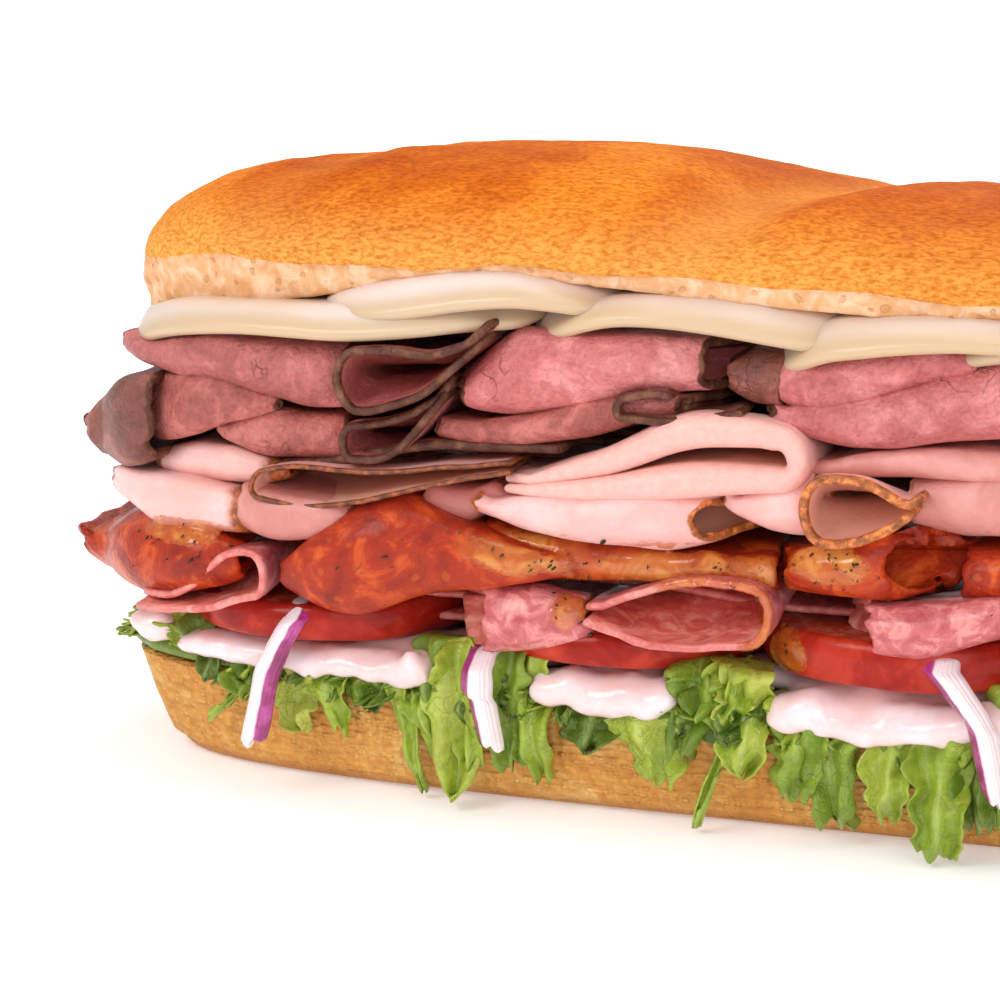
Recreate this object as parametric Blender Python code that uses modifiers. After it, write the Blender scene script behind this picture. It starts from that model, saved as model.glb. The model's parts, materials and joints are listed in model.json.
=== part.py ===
"""A filled submarine sandwich: a long roll cut in two, with lettuce, mayonnaise, tomato, red onion and folded
slices of salami, pepperoni, turkey, roast beef and cheese between the halves.

X runs along the roll, -Y is the front, +Z is up, and the origin is the middle of the flat underside. Metres.

Each folded slice is one sheet bent by a rule. The slices are laid one after the other, each on whatever is
under it, so that they rest on each other with a small gap.
"""

import math

import bmesh
import bpy
import numpy as np

# ---- driving dimensions ----
GAP = 0.0004  # between neighbouring pieces

ROLL_HALF_LENGTH = 0.1425  # at the cut
ROLL_HALF_WIDTH = 0.0400
HEEL_HALF_LENGTH = 0.1340  # at the flat underside, which is smaller than the cut
HEEL_HALF_WIDTH = 0.0345
HEEL_EDGE = 0.0028  # rounding where the side meets the underside
HEEL_HEIGHT = 0.0208  # the lower half's cut
CROWN_HALF_WIDTH = 0.0420
CROWN_TOP = 0.1216
CROWN_WIDEST = 0.0060  # how far above its cut the upper half is widest
CROWN_SAG = 0.0060  # how far its soft cut follows the cheese into a hollow
CROWN_DROOP = 0.0110
HEEL_CORNER = 4.2  # how square the ends are, seen from above
CROWN_CORNER = 3.2
CROWN_ARCH = 3.0  # how blunt the upper half's ends are, seen from the front
CROWN_ROUND = 2.3  # how full its section is

SLASHES = (-0.095, -0.001, 0.093)  # where each cut across the crust passes the middle line
SLASH_SLANT = 0.55  # how far it runs along the roll for each step across
SLASH_HALF_WIDTH = 0.0085
SLASH_DEPTH = 0.0034

LETTUCE_THICK = 0.0034
LETTUCE_HANG = 0.0050  # how far the fringe hangs over the side of the roll between its clumps
MAYO_BACK_TOP = 0.0262
MAYO_FRONT_TOP = 0.0304
MAYO_FRONT = 0.0235  # how far in front of the middle line the thick part starts
TOMATO_THICK = 0.0046
TOMATO_RADIUS = 0.0290
TOMATO_SET_BACK = 0.0150  # of each row's centres from the middle line
FRONT_TOMATOES = (-0.098, -0.0385, 0.0240, 0.0840)
BACK_TOMATOES = (-0.068, -0.004, 0.060)

ONION_WIDE = 0.0056
ONION_THICK = 0.0024
ONION_FRONT = 0.0478  # how far it stands in front of the middle line
FILLING_HALF_WIDTH = 0.0430  # the slices stand out past the bread
FILLING_HALF_LENGTH = 0.1440
SLICE_RECESS = 0.0045  # how far a slice's corners draw back from its fold
SLICE_SAG = 0.0040  # how far a slice sags into a hollow under it
SLICE_DROOP = 0.0200  # how far its ends droop where nothing is under them
CHEESE_SAG = 0.0012
CHEESE_DROOP = 0.0060
TALLEST_SLICE = 0.0155  # past the end of what is under it, a slice hangs down no further than this

# name and thickness of each kind of slice
SALAMI = ("salami", 0.0015)
PEPPERONI = ("pepperoni", 0.0018)
TURKEY = ("turkey", 0.0016)
BEEF = ("beef", 0.0021)
CHEESE = ("cheese", 0.0025)

# ---- colours: linear red, green, blue, then roughness ----
FINISHES = {
    "crust": (0.80, 0.25, 0.045, 0.45),
    "heel_crust": (0.75, 0.38, 0.10, 0.70),
    "lettuce": (0.28, 0.36, 0.035, 0.40),
    "mayo": (0.93, 0.76, 0.72, 0.25),
    "tomato": (0.50, 0.04, 0.022, 0.20),
    "onion": (0.86, 0.62, 0.72, 0.30),
    "salami": (0.70, 0.19, 0.19, 0.30),
    "pepperoni": (0.64, 0.09, 0.025, 0.28),
    "turkey": (0.93, 0.55, 0.48, 0.42),
    "beef": (0.64, 0.19, 0.17, 0.45),
    "cheese": (0.85, 0.65, 0.50, 0.32),
}

# ---- the slices, in the order that they are laid ----
# how it is folded, where it starts and ends along the roll, the heights of its top at even steps between them,
# and how far its fold stands out. A "fold" has its crease along the front. A "right" or "left" loop is open to
# the front, with its bend on that side. A "leaf" lies flat. All in millimetres.
SALAMI_SLICES = (
    ("right", -123.5, -98.0, (38.4, 47.6, 49.0), 1.5),
    ("fold", -67.0, -38.5, (42.8, 43.9, 44.1), 2.0),
    ("right", -36.8, -5.5, (42.5, 49.4, 50.1), 1.5),
    ("fold", 9.5, 42.0, (43.3, 46.9, 48.0), 2.5),
    ("left", 43.6, 76.0, (49.0, 47.5, 42.0), 1.5),
    ("fold", 83.0, 117.0, (43.0, 45.5, 43.0), 2.0),
)
PEPPERONI_SLICES = (
    ("fold", -140.0, -107.0, (47.0, 52.8, 49.3), 3.0),
    ("fold", -97.5, -49.0, (46.0, 57.7, 54.0, 49.7), 4.5),
    ("fold", -60.0, -6.0, (56.3, 55.1, 54.6), 0.5),
    ("left", -4.4, 26.0, (53.5, 56.7, 57.8), 2.0),
    ("fold", 27.4, 73.0, (57.0, 58.3, 54.0), 2.0),
    ("fold", 74.6, 136.0, (52.0, 56.5, 50.0), 3.0),
)
TURKEY_SLICES = (
    ("fold", -135.0, -107.6, (61.3, 59.6, 58.0), 2.5),
    ("fold", -106.2, -88.5, (59.4, 59.4, 58.1), 3.5),
    ("fold", -72.0, -54.5, (60.9, 61.3, 61.9), 0.0),
    ("fold", -52.8, -7.0, (61.6, 64.5, 64.9, 59.0), 3.0),
    ("fold", -13.0, 23.0, (63.6, 68.1, 65.5), 2.5),
    ("fold", 24.6, 72.0, (66.3, 66.1, 63.0), 1.0),
    ("left", 73.6, 136.0, (62.5, 63.5, 60.0), 2.5),
    ("fold", -131.0, -105.6, (66.2, 67.7, 64.5), 0.0),
    ("left", -104.2, -52.0, (63.5, 66.4, 67.8, 68.6), 2.0),
    ("fold", -50.4, 2.0, (68.0, 77.4, 77.8, 74.0), 1.0),
    ("fold", -2.0, 41.0, (69.0, 73.2, 73.9), 0.0),
    ("fold", 42.4, 90.0, (71.5, 73.0, 69.0), 1.5),
    ("fold", 91.4, 133.0, (67.5, 69.5, 65.0), 0.5),
)
BEEF_SLICES = (
    ("leaf", -101.0, -52.0, (0.0, 0.0), -2.0),
    ("fold", -114.0, -85.5, (71.5, 73.4, 72.9), 0.0),
    ("fold", -141.5, -101.5, (77.0, 79.9, 79.0, 76.5), 1.0),
    ("fold", -71.0, -11.5, (75.5, 79.2, 83.1, 80.5), 1.0),
    ("fold", -10.0, 48.0, (77.5, 81.5, 85.5, 88.5), 1.0),
    ("fold", 49.6, 95.0, (78.5, 82.0, 79.0), 0.5),
    ("fold", 96.6, 141.0, (79.0, 81.0, 77.0), 1.0),
    ("fold", -131.0, -85.0, (84.5, 86.5, 86.6), 1.0),
    ("fold", -67.0, -17.5, (84.4, 91.2, 91.7), 1.5),
    ("fold", -16.0, 25.5, (87.6, 89.0, 90.3, 89.8), 0.5),
    ("fold", 27.2, 78.0, (90.3, 90.0, 87.0), 0.5),
    ("fold", 79.8, 131.0, (87.5, 88.0, 84.5), 1.0),
)
# where each cheese slice starts and ends along the roll, in millimetres
CHEESE_SLICES = (
    (89.0, 139.0),
    (55.0, 118.0),
    (17.0, 85.0),
    (-20.0, 46.0),
    (-52.5, 8.0),
    (-139.0, -53.0),
    (-96.0, -35.0),
)
# where an onion strip comes out, how far it leans along the roll, and how low it reaches
ONIONS = (
    (-99.0, -2.5, 9.0),
    (-58.5, -0.5, 12.5),
    (24.0, 9.5, 17.0),
    (72.0, -7.0, 12.0),
)
# clumps of the lettuce's fringe: middle along the roll, half its width, how much further it hangs
CLUMPS = (
    (-112.0, 8.0, 7.0),
    (-93.0, 6.0, 6.0),
    (-66.0, 13.0, 15.0),
    (-36.0, 9.0, 4.0),
    (-13.0, 7.0, 10.0),
    (4.0, 8.0, 7.0),
    (31.0, 9.0, 14.0),
    (52.0, 9.0, 4.0),
    (73.0, 9.0, 11.0),
    (95.0, 8.0, 3.0),
    (115.0, 10.0, 9.0),
)


# ---- small helpers ----


def clear_scene():
    for obj in list(bpy.data.objects):
        bpy.data.objects.remove(obj)


def new_collection(name):
    made = bpy.data.collections.new(name)
    bpy.context.scene.collection.children.link(made)
    return made


def material_for(finish):
    """One Principled material for each finish, made the first time that it is asked for."""
    made = bpy.data.materials.get(finish)
    if made is None:
        red, green, blue, roughness = FINISHES[finish]
        made = bpy.data.materials.new(finish)
        made.use_nodes = True
        shader = made.node_tree.nodes["Principled BSDF"]
        shader.inputs["Base Color"].default_value = (red, green, blue, 1.0)
        shader.inputs["Roughness"].default_value = roughness
        made.diffuse_color = (red, green, blue, 1.0)
    return made


def finish_object(name, bm, finish, collection):
    mesh = bpy.data.meshes.new(name)
    bm.to_mesh(mesh)
    bm.free()
    obj = bpy.data.objects.new(name, mesh)
    mesh.materials.append(material_for(finish))
    collection.objects.link(obj)
    return obj


def thicken(obj, thickness):
    """Gives a sheet its thickness, on the side away from its normals."""
    solidify = obj.modifiers.new("thickness", "SOLIDIFY")
    solidify.thickness = thickness
    solidify.offset = -1.0
    solidify.use_even_offset = True


def sheet_object(name, shape, columns, rows, thickness, finish, collection):
    """A sheet bent by shape(u, v), with u and v from 0 to 1, which gives the points of its outer side."""
    bm = bmesh.new()
    bmesh.ops.create_grid(bm, x_segments=columns, y_segments=rows, size=0.5)
    for vertex in bm.verts:
        vertex.co = shape(vertex.co.x + 0.5, vertex.co.y + 0.5)
    obj = finish_object(name, bm, finish, collection)
    thicken(obj, thickness)
    return obj


def oval(across, power):
    """How wide a superellipse is, from 1 at its middle to 0 at its end, where across is 1."""
    return max(0.0, 1.0 - min(1.0, abs(across)) ** power) ** (1.0 / power)


def signed_power(value, power):
    return math.copysign(abs(value) ** power, value)


def along(points, share):
    """The point at that share of the way through points, counted by their number."""
    place = share * (len(points) - 1)
    first = min(int(place + 1e-6), len(points) - 2)
    rest = place - first
    return [a + rest * (b - a) for a, b in zip(points[first], points[first + 1])]


def filling_half_width(x):
    """Half the depth of the filling, which rounds off with the ends of the roll."""
    straight = 0.62 * FILLING_HALF_LENGTH
    beyond = max(0.0, abs(x) - straight) / (FILLING_HALF_LENGTH + 0.004 - straight)
    return FILLING_HALF_WIDTH * max(0.50, oval(beyond, 2.6))


# ---- the pile ----


def bridge(places, heights):
    """The tightest line over the heights that never bends upwards, like a taut sheet laid over them."""
    corners = []
    for point in zip(places, heights):
        while len(corners) > 1:
            (x0, z0), (x1, z1) = corners[-2:]
            if (z1 - z0) * (point[0] - x0) > (point[1] - z0) * (x1 - x0):
                break
            corners.pop()
        corners.append(point)
    return np.interp(places, [x for x, _ in corners], [z for _, z in corners])


class Pile:
    """The height of the top of what has been laid so far, every half millimetre along the roll."""

    STEP = 0.0005

    def __init__(self, height):
        self.places = np.arange(-0.150, 0.1505, self.STEP)
        self.tops = np.full(len(self.places), height)

    def cover(self, start, end, height):
        inside = (self.places >= start - self.STEP) & (self.places <= end + self.STEP)
        self.tops[inside] = np.maximum(self.tops[inside], height)

    def bed(self, stations, sag, droop):
        """The lowest heights at the stations that clear everything underneath along the lines between them.
        What lies there sags into a hollow by no more than sag, and its ends droop by no more than droop."""
        near = (self.places >= stations[0] - self.STEP) & (
            self.places <= stations[-1] + self.STEP
        )
        places, needed = self.places[near], self.tops[near] + GAP
        needed = np.maximum(needed, bridge(places, needed) - sag)
        needed = np.maximum(needed, needed.max() - droop)
        heights = np.interp(stations, places, needed)
        for _ in range(60):
            short = needed - np.interp(places, stations, heights)
            worst = int(short.argmax())
            i = int(np.clip(np.searchsorted(stations, places[worst]) - 1, 0, len(stations) - 2))
            share = (places[worst] - stations[i]) / (stations[i + 1] - stations[i])
            share = min(1.0, max(0.0, float(share)))
            lift = max(0.0, float(short[worst])) / ((1.0 - share) ** 2 + share**2)
            heights[i] += lift * (1.0 - share)
            heights[i + 1] += lift * share
        short = needed - np.interp(places, stations, heights)
        return heights + max(0.0, float(short.max()))

    def lay(self, stations, tops, least, sag, droop):
        """Lays a slice, and returns its heights below and above at each of its stations."""
        low = self.bed(stations, sag, droop)
        wanted = np.interp(stations, np.linspace(stations[0], stations[-1], len(tops)), tops)
        high = np.maximum(low + least, wanted)
        low = np.maximum(low, high - TALLEST_SLICE)
        inside = (self.places >= stations[0]) & (self.places <= stations[-1])
        above = np.interp(self.places[inside], stations, high)
        self.tops[inside] = np.maximum(self.tops[inside], above)
        return low, high


# ---- folded slices ----


def fold_section(low, high, front, back, thickness):
    """The outer side of a folded slice, as (y, z) points from its lower back edge round its front to its upper
    one. A tall fold also turns its upper part down at the back and forward again inside itself."""
    middle, rise = 0.5 * (low + high), 0.5 * (high - low)
    bend = min(rise, 0.0070)
    points = [(back - 0.003, low), (front + bend, low)]
    for angle in (-50, 0, 50):
        turn = math.radians(angle)
        points.append((front + bend - bend * math.cos(turn), middle + rise * math.sin(turn)))
    points.append((front + bend, high))
    inside = high - low - 2.0 * thickness
    if inside < 2.6 * thickness:
        return points + [(back, high)]
    tail = low + thickness + 0.55 * inside
    turn_in = 0.5 * (high - tail)
    points += [(back - turn_in, high), (back, high - turn_in), (back - turn_in, tail)]
    return points + [(back - turn_in - 0.30 * (back - front), tail)]


def build_fold(name, stations, low, high, stands_out, thickness, finish, collection):
    tall = (high - low) / thickness
    tucked = float(tall.min()) > 4.6
    middle, half_length = 0.5 * (stations[0] + stations[-1]), 0.5 * (stations[-1] - stations[0])

    def shape(u, v):
        x = stations[-1] - v * (stations[-1] - stations[0])
        recess = SLICE_RECESS * (1.0 - oval((x - middle) / (1.02 * half_length), 2.4))
        half = filling_half_width(x)
        below, above = float(np.interp(x, stations, low)), float(np.interp(x, stations, high))
        section = fold_section(below, above, recess - half - stands_out, half - recess, thickness)
        if not tucked:
            section = section[:6] + [(half - recess, above)]
        return (x, *along(section, u))

    columns = 9 if tucked else 6
    rows = len(stations) - 1
    return sheet_object(name, shape, columns, rows, thickness, finish, collection)


def build_loop(name, side, stations, low, high, stands_out, thickness, finish, collection):
    """A slice rolled over to one side. Its section stands across the pile and runs from front to back."""
    if side == "left":
        stations, low, high = stations[::-1], low[::-1], high[::-1]
    inward = 1.0 if side == "left" else -1.0
    tip, rise = stations[-1], 0.5 * (high[-1] - low[-1])
    under = list(zip(stations[:-1], low[:-1]))
    over = list(zip(stations[:-1], high[:-1]))
    near_tip = tip + inward * 0.35 * rise
    bend = [(near_tip, low[-1] + 0.30 * rise), (tip, low[-1] + rise), (near_tip, high[-1] - 0.30 * rise)]
    section = under + bend + over[::-1]

    def shape(u, v):
        x, z = along(section, u)
        half = filling_half_width(x)
        depth = 1.0 - v if side == "right" else v
        return (x, -half - stands_out + depth * (2.0 * half + stands_out), z)

    return sheet_object(name, shape, len(section) - 1, 2, thickness, finish, collection)


def build_leaf(name, stations, high, stands_out, thickness, finish, collection):
    def shape(u, v):
        x = stations[0] + u * (stations[-1] - stations[0])
        half = filling_half_width(x)
        z = float(np.interp(x, stations, high))
        return (x, -half - stands_out + v * (2.0 * half + stands_out), z)

    return sheet_object(name, shape, len(stations) - 1, 2, thickness, finish, collection)


def lay_slices(kind, rows, pile, collection):
    finish, thickness = kind
    for number, (way, start, end, tops, stands_out) in enumerate(rows, 1):
        name = f"{finish}_{number}"
        stations = np.linspace(0.001 * start, 0.001 * end, 5 if end - start < 45.0 else 6)
        least = 1.15 * thickness if way == "leaf" else 2.0 * thickness + 0.0010
        low, high = pile.lay(stations, 0.001 * np.array(tops), least, SLICE_SAG, SLICE_DROOP)
        rest = (0.001 * stands_out, thickness, finish, collection)
        if way == "fold":
            build_fold(name, stations, low, high, *rest)
        elif way == "leaf":
            build_leaf(name, stations, high, *rest)
        else:
            build_loop(name, way, stations, low, high, *rest)


def lay_cheese(pile, collection):
    """Slices with rounded corners that bend with whatever they lie on."""
    finish, thickness = CHEESE
    for number, (start, end) in enumerate(CHEESE_SLICES, 1):
        stations = np.linspace(0.001 * start, 0.001 * end, 7)
        _, high = pile.lay(stations, np.zeros(2), 1.12 * thickness, CHEESE_SAG, CHEESE_DROOP)
        centre, half_length = 0.5 * (stations[0] + stations[-1]), 0.5 * (stations[-1] - stations[0])

        def shape(u, v):
            x = stations[0] + u * (stations[-1] - stations[0])
            reach = 0.70 + 0.30 * oval((x - centre) / half_length, 2.6)
            y = (2.0 * v - 1.0) * reach * (filling_half_width(x) + 0.0020)
            return (x, y, float(np.interp(x, stations, high)))

        sheet_object(f"{finish}_{number}", shape, 6, 4, thickness, finish, collection)


# ---- the bread ----


def ring_index(vertex, around):
    """Where a vertex of a sphere is: how far along X from -1 to 1, and its number round X, from +Y upwards."""
    share = max(-1.0, min(1.0, vertex.co.z))
    number = round(math.atan2(vertex.co.y, vertex.co.x) / (2.0 * math.pi / around)) % around
    return share, number


def bread_object(name, place, rings, around, finish, collection):
    """A sphere with its poles on X, with each point moved to place(share, number)."""
    bm = bmesh.new()
    bmesh.ops.create_uvsphere(bm, u_segments=around, v_segments=rings, radius=1.0)
    for vertex in bm.verts:
        share, number = ring_index(vertex, around)
        even = 0.60 * share + 0.40 * math.asin(share) / (0.5 * math.pi)
        vertex.co = place(even, number)
    return finish_object(name, bm, finish, collection)


def heel_point(share, number):
    """The lower half: a flat cut, sides that flare up to it, and a flat underside."""
    flare = HEEL_HALF_WIDTH + 0.72 * (ROLL_HALF_WIDTH - HEEL_HALF_WIDTH)
    side = (
        (flare, 0.55 * HEEL_HEIGHT),
        (ROLL_HALF_WIDTH, HEEL_HEIGHT),
        (0.35 * ROLL_HALF_WIDTH, HEEL_HEIGHT),
    )
    under = (
        (0.35 * HEEL_HALF_WIDTH, 0.0),
        (HEEL_HALF_WIDTH - HEEL_EDGE, 0.0),
        (HEEL_HALF_WIDTH, HEEL_EDGE),
    )
    front = [(-y, z) for y, z in side[::-1]]
    section = list(side) + front + [(-y, z) for y, z in under[::-1]] + list(under)
    y, z = section[number]
    half_length = ROLL_HALF_LENGTH - (ROLL_HALF_WIDTH - max(abs(y), flare)) * 1.4
    if z <= HEEL_EDGE:
        half_length = HEEL_HALF_LENGTH - (HEEL_EDGE - z)
    elif z >= HEEL_HEIGHT:
        half_length = ROLL_HALF_LENGTH
    if abs(share) > 0.999:
        return (share * (HEEL_HALF_LENGTH + 0.0055), 0.0, 0.55 * HEEL_HEIGHT)
    return (half_length * share, y * oval(share, HEEL_CORNER), z)


def crown_ridge(x):
    """The height of the upper half's middle line: a long hump, a little lower past the middle."""
    fall = 0.0030 * (1.0 + math.tanh((x + 0.022) / 0.018))
    return CROWN_TOP - fall + 0.0010 * math.sin((x + 0.06) / 0.035)


def slash(x, y):
    """How deep the cuts across the crust are at a point: slanting grooves."""
    depth = 0.0
    for middle in SLASHES:
        away = (x - middle - SLASH_SLANT * y) / SLASH_HALF_WIDTH
        depth += SLASH_DEPTH * math.exp(-away * away)
    return depth


def crown_maker(cut_places, cut_heights, around):
    """Gives the rule for the upper half: its cut follows the cheese, and its crust is a long dome."""

    def place(share, number):
        x = ROLL_HALF_LENGTH * share
        cut = float(np.interp(x, cut_places, cut_heights))
        half = CROWN_HALF_WIDTH * oval(share, CROWN_CORNER)
        rise = (crown_ridge(x) - cut) * oval(share, CROWN_ARCH)
        widest = min(CROWN_WIDEST, 0.4 * rise)
        turn = 2.0 * math.pi * number / around
        if abs(share) > 0.999:
            return (x, 0.0, cut + 0.0030)
        if 2 * number <= around:
            y = half * signed_power(math.cos(turn), 2.0 / CROWN_ROUND)
            lift = signed_power(max(0.0, math.sin(turn)), 2.0 / CROWN_ROUND)
            groove = slash(x, y) * min(1.0, 1.5 * lift) * oval(share, CROWN_ARCH)
            return (x, y, cut + widest + (rise - widest) * lift - groove)
        return (x, 0.97 * half * math.cos(turn), cut)

    return place


def build_bread(pile, collection):
    bread_object("roll_bottom", heel_point, 22, 12, "heel_crust", collection)
    rings, around = 38, 16
    shares = np.cos(np.linspace(math.pi, 0.0, rings + 1))
    even = 0.60 * shares + 0.40 * np.arcsin(shares) / (0.5 * math.pi)
    stations = ROLL_HALF_LENGTH * even
    covered = stations[np.abs(stations) < 0.0001 * math.floor(10.0 * CHEESE_SLICES[0][1])]
    crown = crown_maker(covered, pile.bed(covered, CROWN_SAG, CROWN_DROOP), around)
    bread_object("roll_top", crown, rings, around, "crust", collection)


# ---- salad and sauce ----


def even_rim(count, half_length, half_width, power):
    """Points at even steps round a superellipse, seen from above, from +X towards +Y."""
    turns = np.linspace(0.0, 2.0 * math.pi, 2001)
    x = half_length * np.sign(np.cos(turns)) * np.abs(np.cos(turns)) ** (2.0 / power)
    y = half_width * np.sign(np.sin(turns)) * np.abs(np.sin(turns)) ** (2.0 / power)
    run = np.concatenate(((0.0,), np.cumsum(np.hypot(np.diff(x), np.diff(y)))))
    steps = np.linspace(0.0, run[-1], count + 1)[:-1]
    return list(zip(np.interp(steps, run, x), np.interp(steps, run, y)))


def face_up(bm):
    for face in bm.faces:
        if face.normal.z < 0.0:
            face.normal_flip()


def fringe_length(x, y):
    """How far the lettuce hangs down there: uneven clumps along the side."""
    place = x if y < 0.0 else -x
    length = LETTUCE_HANG * (1.0 + 0.3 * math.sin(place / 0.0060))
    for middle, half, more in CLUMPS:
        away = (place - 0.001 * middle) / (0.001 * half)
        length += 0.001 * more * math.exp(-(away**4))
    return length


def build_lettuce(collection):
    """A heap spread over the lower half, which hangs over its side in a fringe."""
    around = 72
    top = HEEL_HEIGHT + GAP + LETTUCE_THICK
    over = GAP + LETTUCE_THICK
    rim = even_rim(around, ROLL_HALF_LENGTH + over, ROLL_HALF_WIDTH + over, HEEL_CORNER)
    bm = bmesh.new()
    bmesh.ops.create_circle(bm, cap_ends=True, cap_tris=True, segments=around, radius=1.0)
    spokes = [edge for edge in bm.edges if len(edge.link_faces) == 2]
    bmesh.ops.subdivide_edges(bm, edges=spokes, cuts=1, use_grid_fill=True)
    for vertex in bm.verts:
        turn, out = math.atan2(vertex.co.y, vertex.co.x), vertex.co.length
        x, y = rim[round(turn / (2.0 * math.pi / around)) % around]
        reach = min(1.0, out * 2.0)
        hang = fringe_length(x, y) if out > 0.9 else 0.0
        vertex.co = (x * reach, y * reach, top - hang)
    bm.normal_update()
    face_up(bm)
    lettuce = finish_object("lettuce", bm, "lettuce", collection)
    thicken(lettuce, LETTUCE_THICK)


def build_mayonnaise(collection):
    """A spread with a lobed edge, thicker along the front."""
    around = 44
    under = HEEL_HEIGHT + 2.0 * GAP + LETTUCE_THICK
    rim = even_rim(around, ROLL_HALF_LENGTH - 0.005, ROLL_HALF_WIDTH + 0.0012, 3.4)
    bm = bmesh.new()
    bmesh.ops.create_uvsphere(bm, u_segments=around, v_segments=6, radius=1.0)
    for vertex in bm.verts:
        turn, out = math.atan2(vertex.co.y, vertex.co.x), math.hypot(vertex.co.x, vertex.co.y)
        number = round(turn / (2.0 * math.pi / around)) % around
        x, y = rim[number]
        lobe = 1.0 + 0.045 * math.sin(1.9 * number)
        x, y = x * out, y * out * lobe
        front = max(0.0, min(1.0, (-MAYO_FRONT - y) / 0.004))
        top = MAYO_BACK_TOP + front * (MAYO_FRONT_TOP - MAYO_BACK_TOP)
        share = 0.5 + 0.5 * signed_power(vertex.co.z, 0.45)
        vertex.co = (x, y, under + share * (top - under))
    finish_object("mayonnaise", bm, "mayo", collection)


def build_tomatoes(pile, collection):
    """Two rows of round slices. The front row lies on the back row's edge and on the thick mayonnaise."""
    low = MAYO_BACK_TOP + GAP
    rows = (
        ("back", BACK_TOMATOES, TOMATO_SET_BACK, low),
        ("front", FRONT_TOMATOES, -TOMATO_SET_BACK, low + TOMATO_THICK + GAP),
    )
    for side, places, set_back, under in rows:
        for number, x in enumerate(places, 1):
            bm = bmesh.new()
            bmesh.ops.create_circle(bm, cap_ends=True, segments=22, radius=TOMATO_RADIUS)
            bmesh.ops.translate(bm, verts=bm.verts, vec=(x, set_back, under + TOMATO_THICK))
            bm.normal_update()
            face_up(bm)
            tomato = finish_object(f"tomato_{side}_{number}", bm, "tomato", collection)
            thicken(tomato, TOMATO_THICK)
            pile.cover(x - TOMATO_RADIUS, x + TOMATO_RADIUS, under + TOMATO_THICK)


def build_onions(pile, collection):
    """Strips that come out over the tomato, bend down and hang in front of it."""
    for number, (start, lean, lowest) in enumerate(ONIONS, 1):
        x0, dx, end = 0.001 * start, 0.001 * lean, 0.001 * lowest
        half = 0.5 * ONION_WIDE
        top = float(pile.bed(np.array((x0 - half, x0 + half)), 0.0, 0.0).max()) + ONION_THICK
        pile.cover(x0 - half, x0 + half, top)
        path = (
            (0.0, -0.026, top),
            (0.0, -ONION_FRONT + 0.0030, top),
            (0.1, -ONION_FRONT - 0.0004, top - 0.0034),
            (0.6, -ONION_FRONT - 0.0016, 0.5 * (top + end)),
            (1.0, -ONION_FRONT - 0.0004, end),
        )

        def shape(u, v):
            leaning, y, z = along(path, v)
            return (x0 + dx * leaning + (u - 0.5) * ONION_WIDE * (1.0 - 0.3 * leaning), y, z)

        strip = sheet_object(f"onion_{number}", shape, 1, 4, ONION_THICK, "onion", collection)
        strip.modifiers["thickness"].offset = 1.0


def main():
    clear_scene()
    collection = new_collection("submarine_sandwich")
    build_lettuce(collection)
    build_mayonnaise(collection)
    pile = Pile(MAYO_FRONT_TOP)
    build_tomatoes(pile, collection)
    build_onions(pile, collection)
    lay_slices(SALAMI, SALAMI_SLICES, pile, collection)
    lay_slices(PEPPERONI, PEPPERONI_SLICES, pile, collection)
    lay_slices(TURKEY, TURKEY_SLICES, pile, collection)
    lay_slices(BEEF, BEEF_SLICES, pile, collection)
    lay_cheese(pile, collection)
    build_bread(pile, collection)


main()
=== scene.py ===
# %% [markdown]
# # A filled submarine sandwich
# The real thing is a long roll, cut in two and filled by hand. Nothing in it is straight, so every piece here is
# grown from a rule plus a little disorder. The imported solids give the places, and this lesson gives the looks.

# %% Load the frame
import json
import math

import bpy
import numpy as np
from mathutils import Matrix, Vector

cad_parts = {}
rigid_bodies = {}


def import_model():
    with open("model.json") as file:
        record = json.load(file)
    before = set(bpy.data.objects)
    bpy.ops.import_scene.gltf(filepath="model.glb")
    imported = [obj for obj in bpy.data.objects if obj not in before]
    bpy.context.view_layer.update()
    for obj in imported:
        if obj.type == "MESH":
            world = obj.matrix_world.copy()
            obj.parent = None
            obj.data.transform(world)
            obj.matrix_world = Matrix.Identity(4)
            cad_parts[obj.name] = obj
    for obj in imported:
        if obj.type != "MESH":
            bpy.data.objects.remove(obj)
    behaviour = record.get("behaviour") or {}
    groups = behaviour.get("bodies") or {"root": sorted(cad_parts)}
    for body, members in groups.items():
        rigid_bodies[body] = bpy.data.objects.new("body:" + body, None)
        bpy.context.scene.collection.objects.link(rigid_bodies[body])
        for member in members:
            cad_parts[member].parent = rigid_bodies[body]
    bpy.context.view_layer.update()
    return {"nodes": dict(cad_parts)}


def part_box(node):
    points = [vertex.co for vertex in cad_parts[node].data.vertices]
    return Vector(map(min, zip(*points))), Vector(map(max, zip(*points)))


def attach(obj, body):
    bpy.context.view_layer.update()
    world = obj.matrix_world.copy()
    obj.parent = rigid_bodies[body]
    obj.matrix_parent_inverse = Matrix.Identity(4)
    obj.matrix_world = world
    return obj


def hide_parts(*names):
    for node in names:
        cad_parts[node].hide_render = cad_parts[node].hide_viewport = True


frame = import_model()
scene = bpy.context.scene

# %% [markdown]
# ## The camera and the studio
# A long lens keeps the long roll from tapering. The sandwich stands on a white sweep under big soft lights, so
# that wet surfaces show broad highlights and the shadow under the roll stays soft.

# %% Camera
VIEW_TURN, VIEW_DROP = math.radians(18.0), math.radians(12.0)
camera_data = bpy.data.cameras.new("camera")
camera_data.sensor_width, camera_data.lens = 36.0, 93.6
camera_data.clip_start, camera_data.clip_end = 0.01, 20.0
camera = bpy.data.objects.new("camera", camera_data)
scene.collection.objects.link(camera)
camera.location = (0.08554592, -0.4801302, 0.15775396)
towards = Vector((math.sin(VIEW_TURN), -math.cos(VIEW_TURN), 0.0)) * math.cos(VIEW_DROP)
towards.z = math.sin(VIEW_DROP)
camera.rotation_mode = "QUATERNION"
camera.rotation_quaternion = towards.to_track_quat("Z", "Y")
scene.camera = camera

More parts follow.
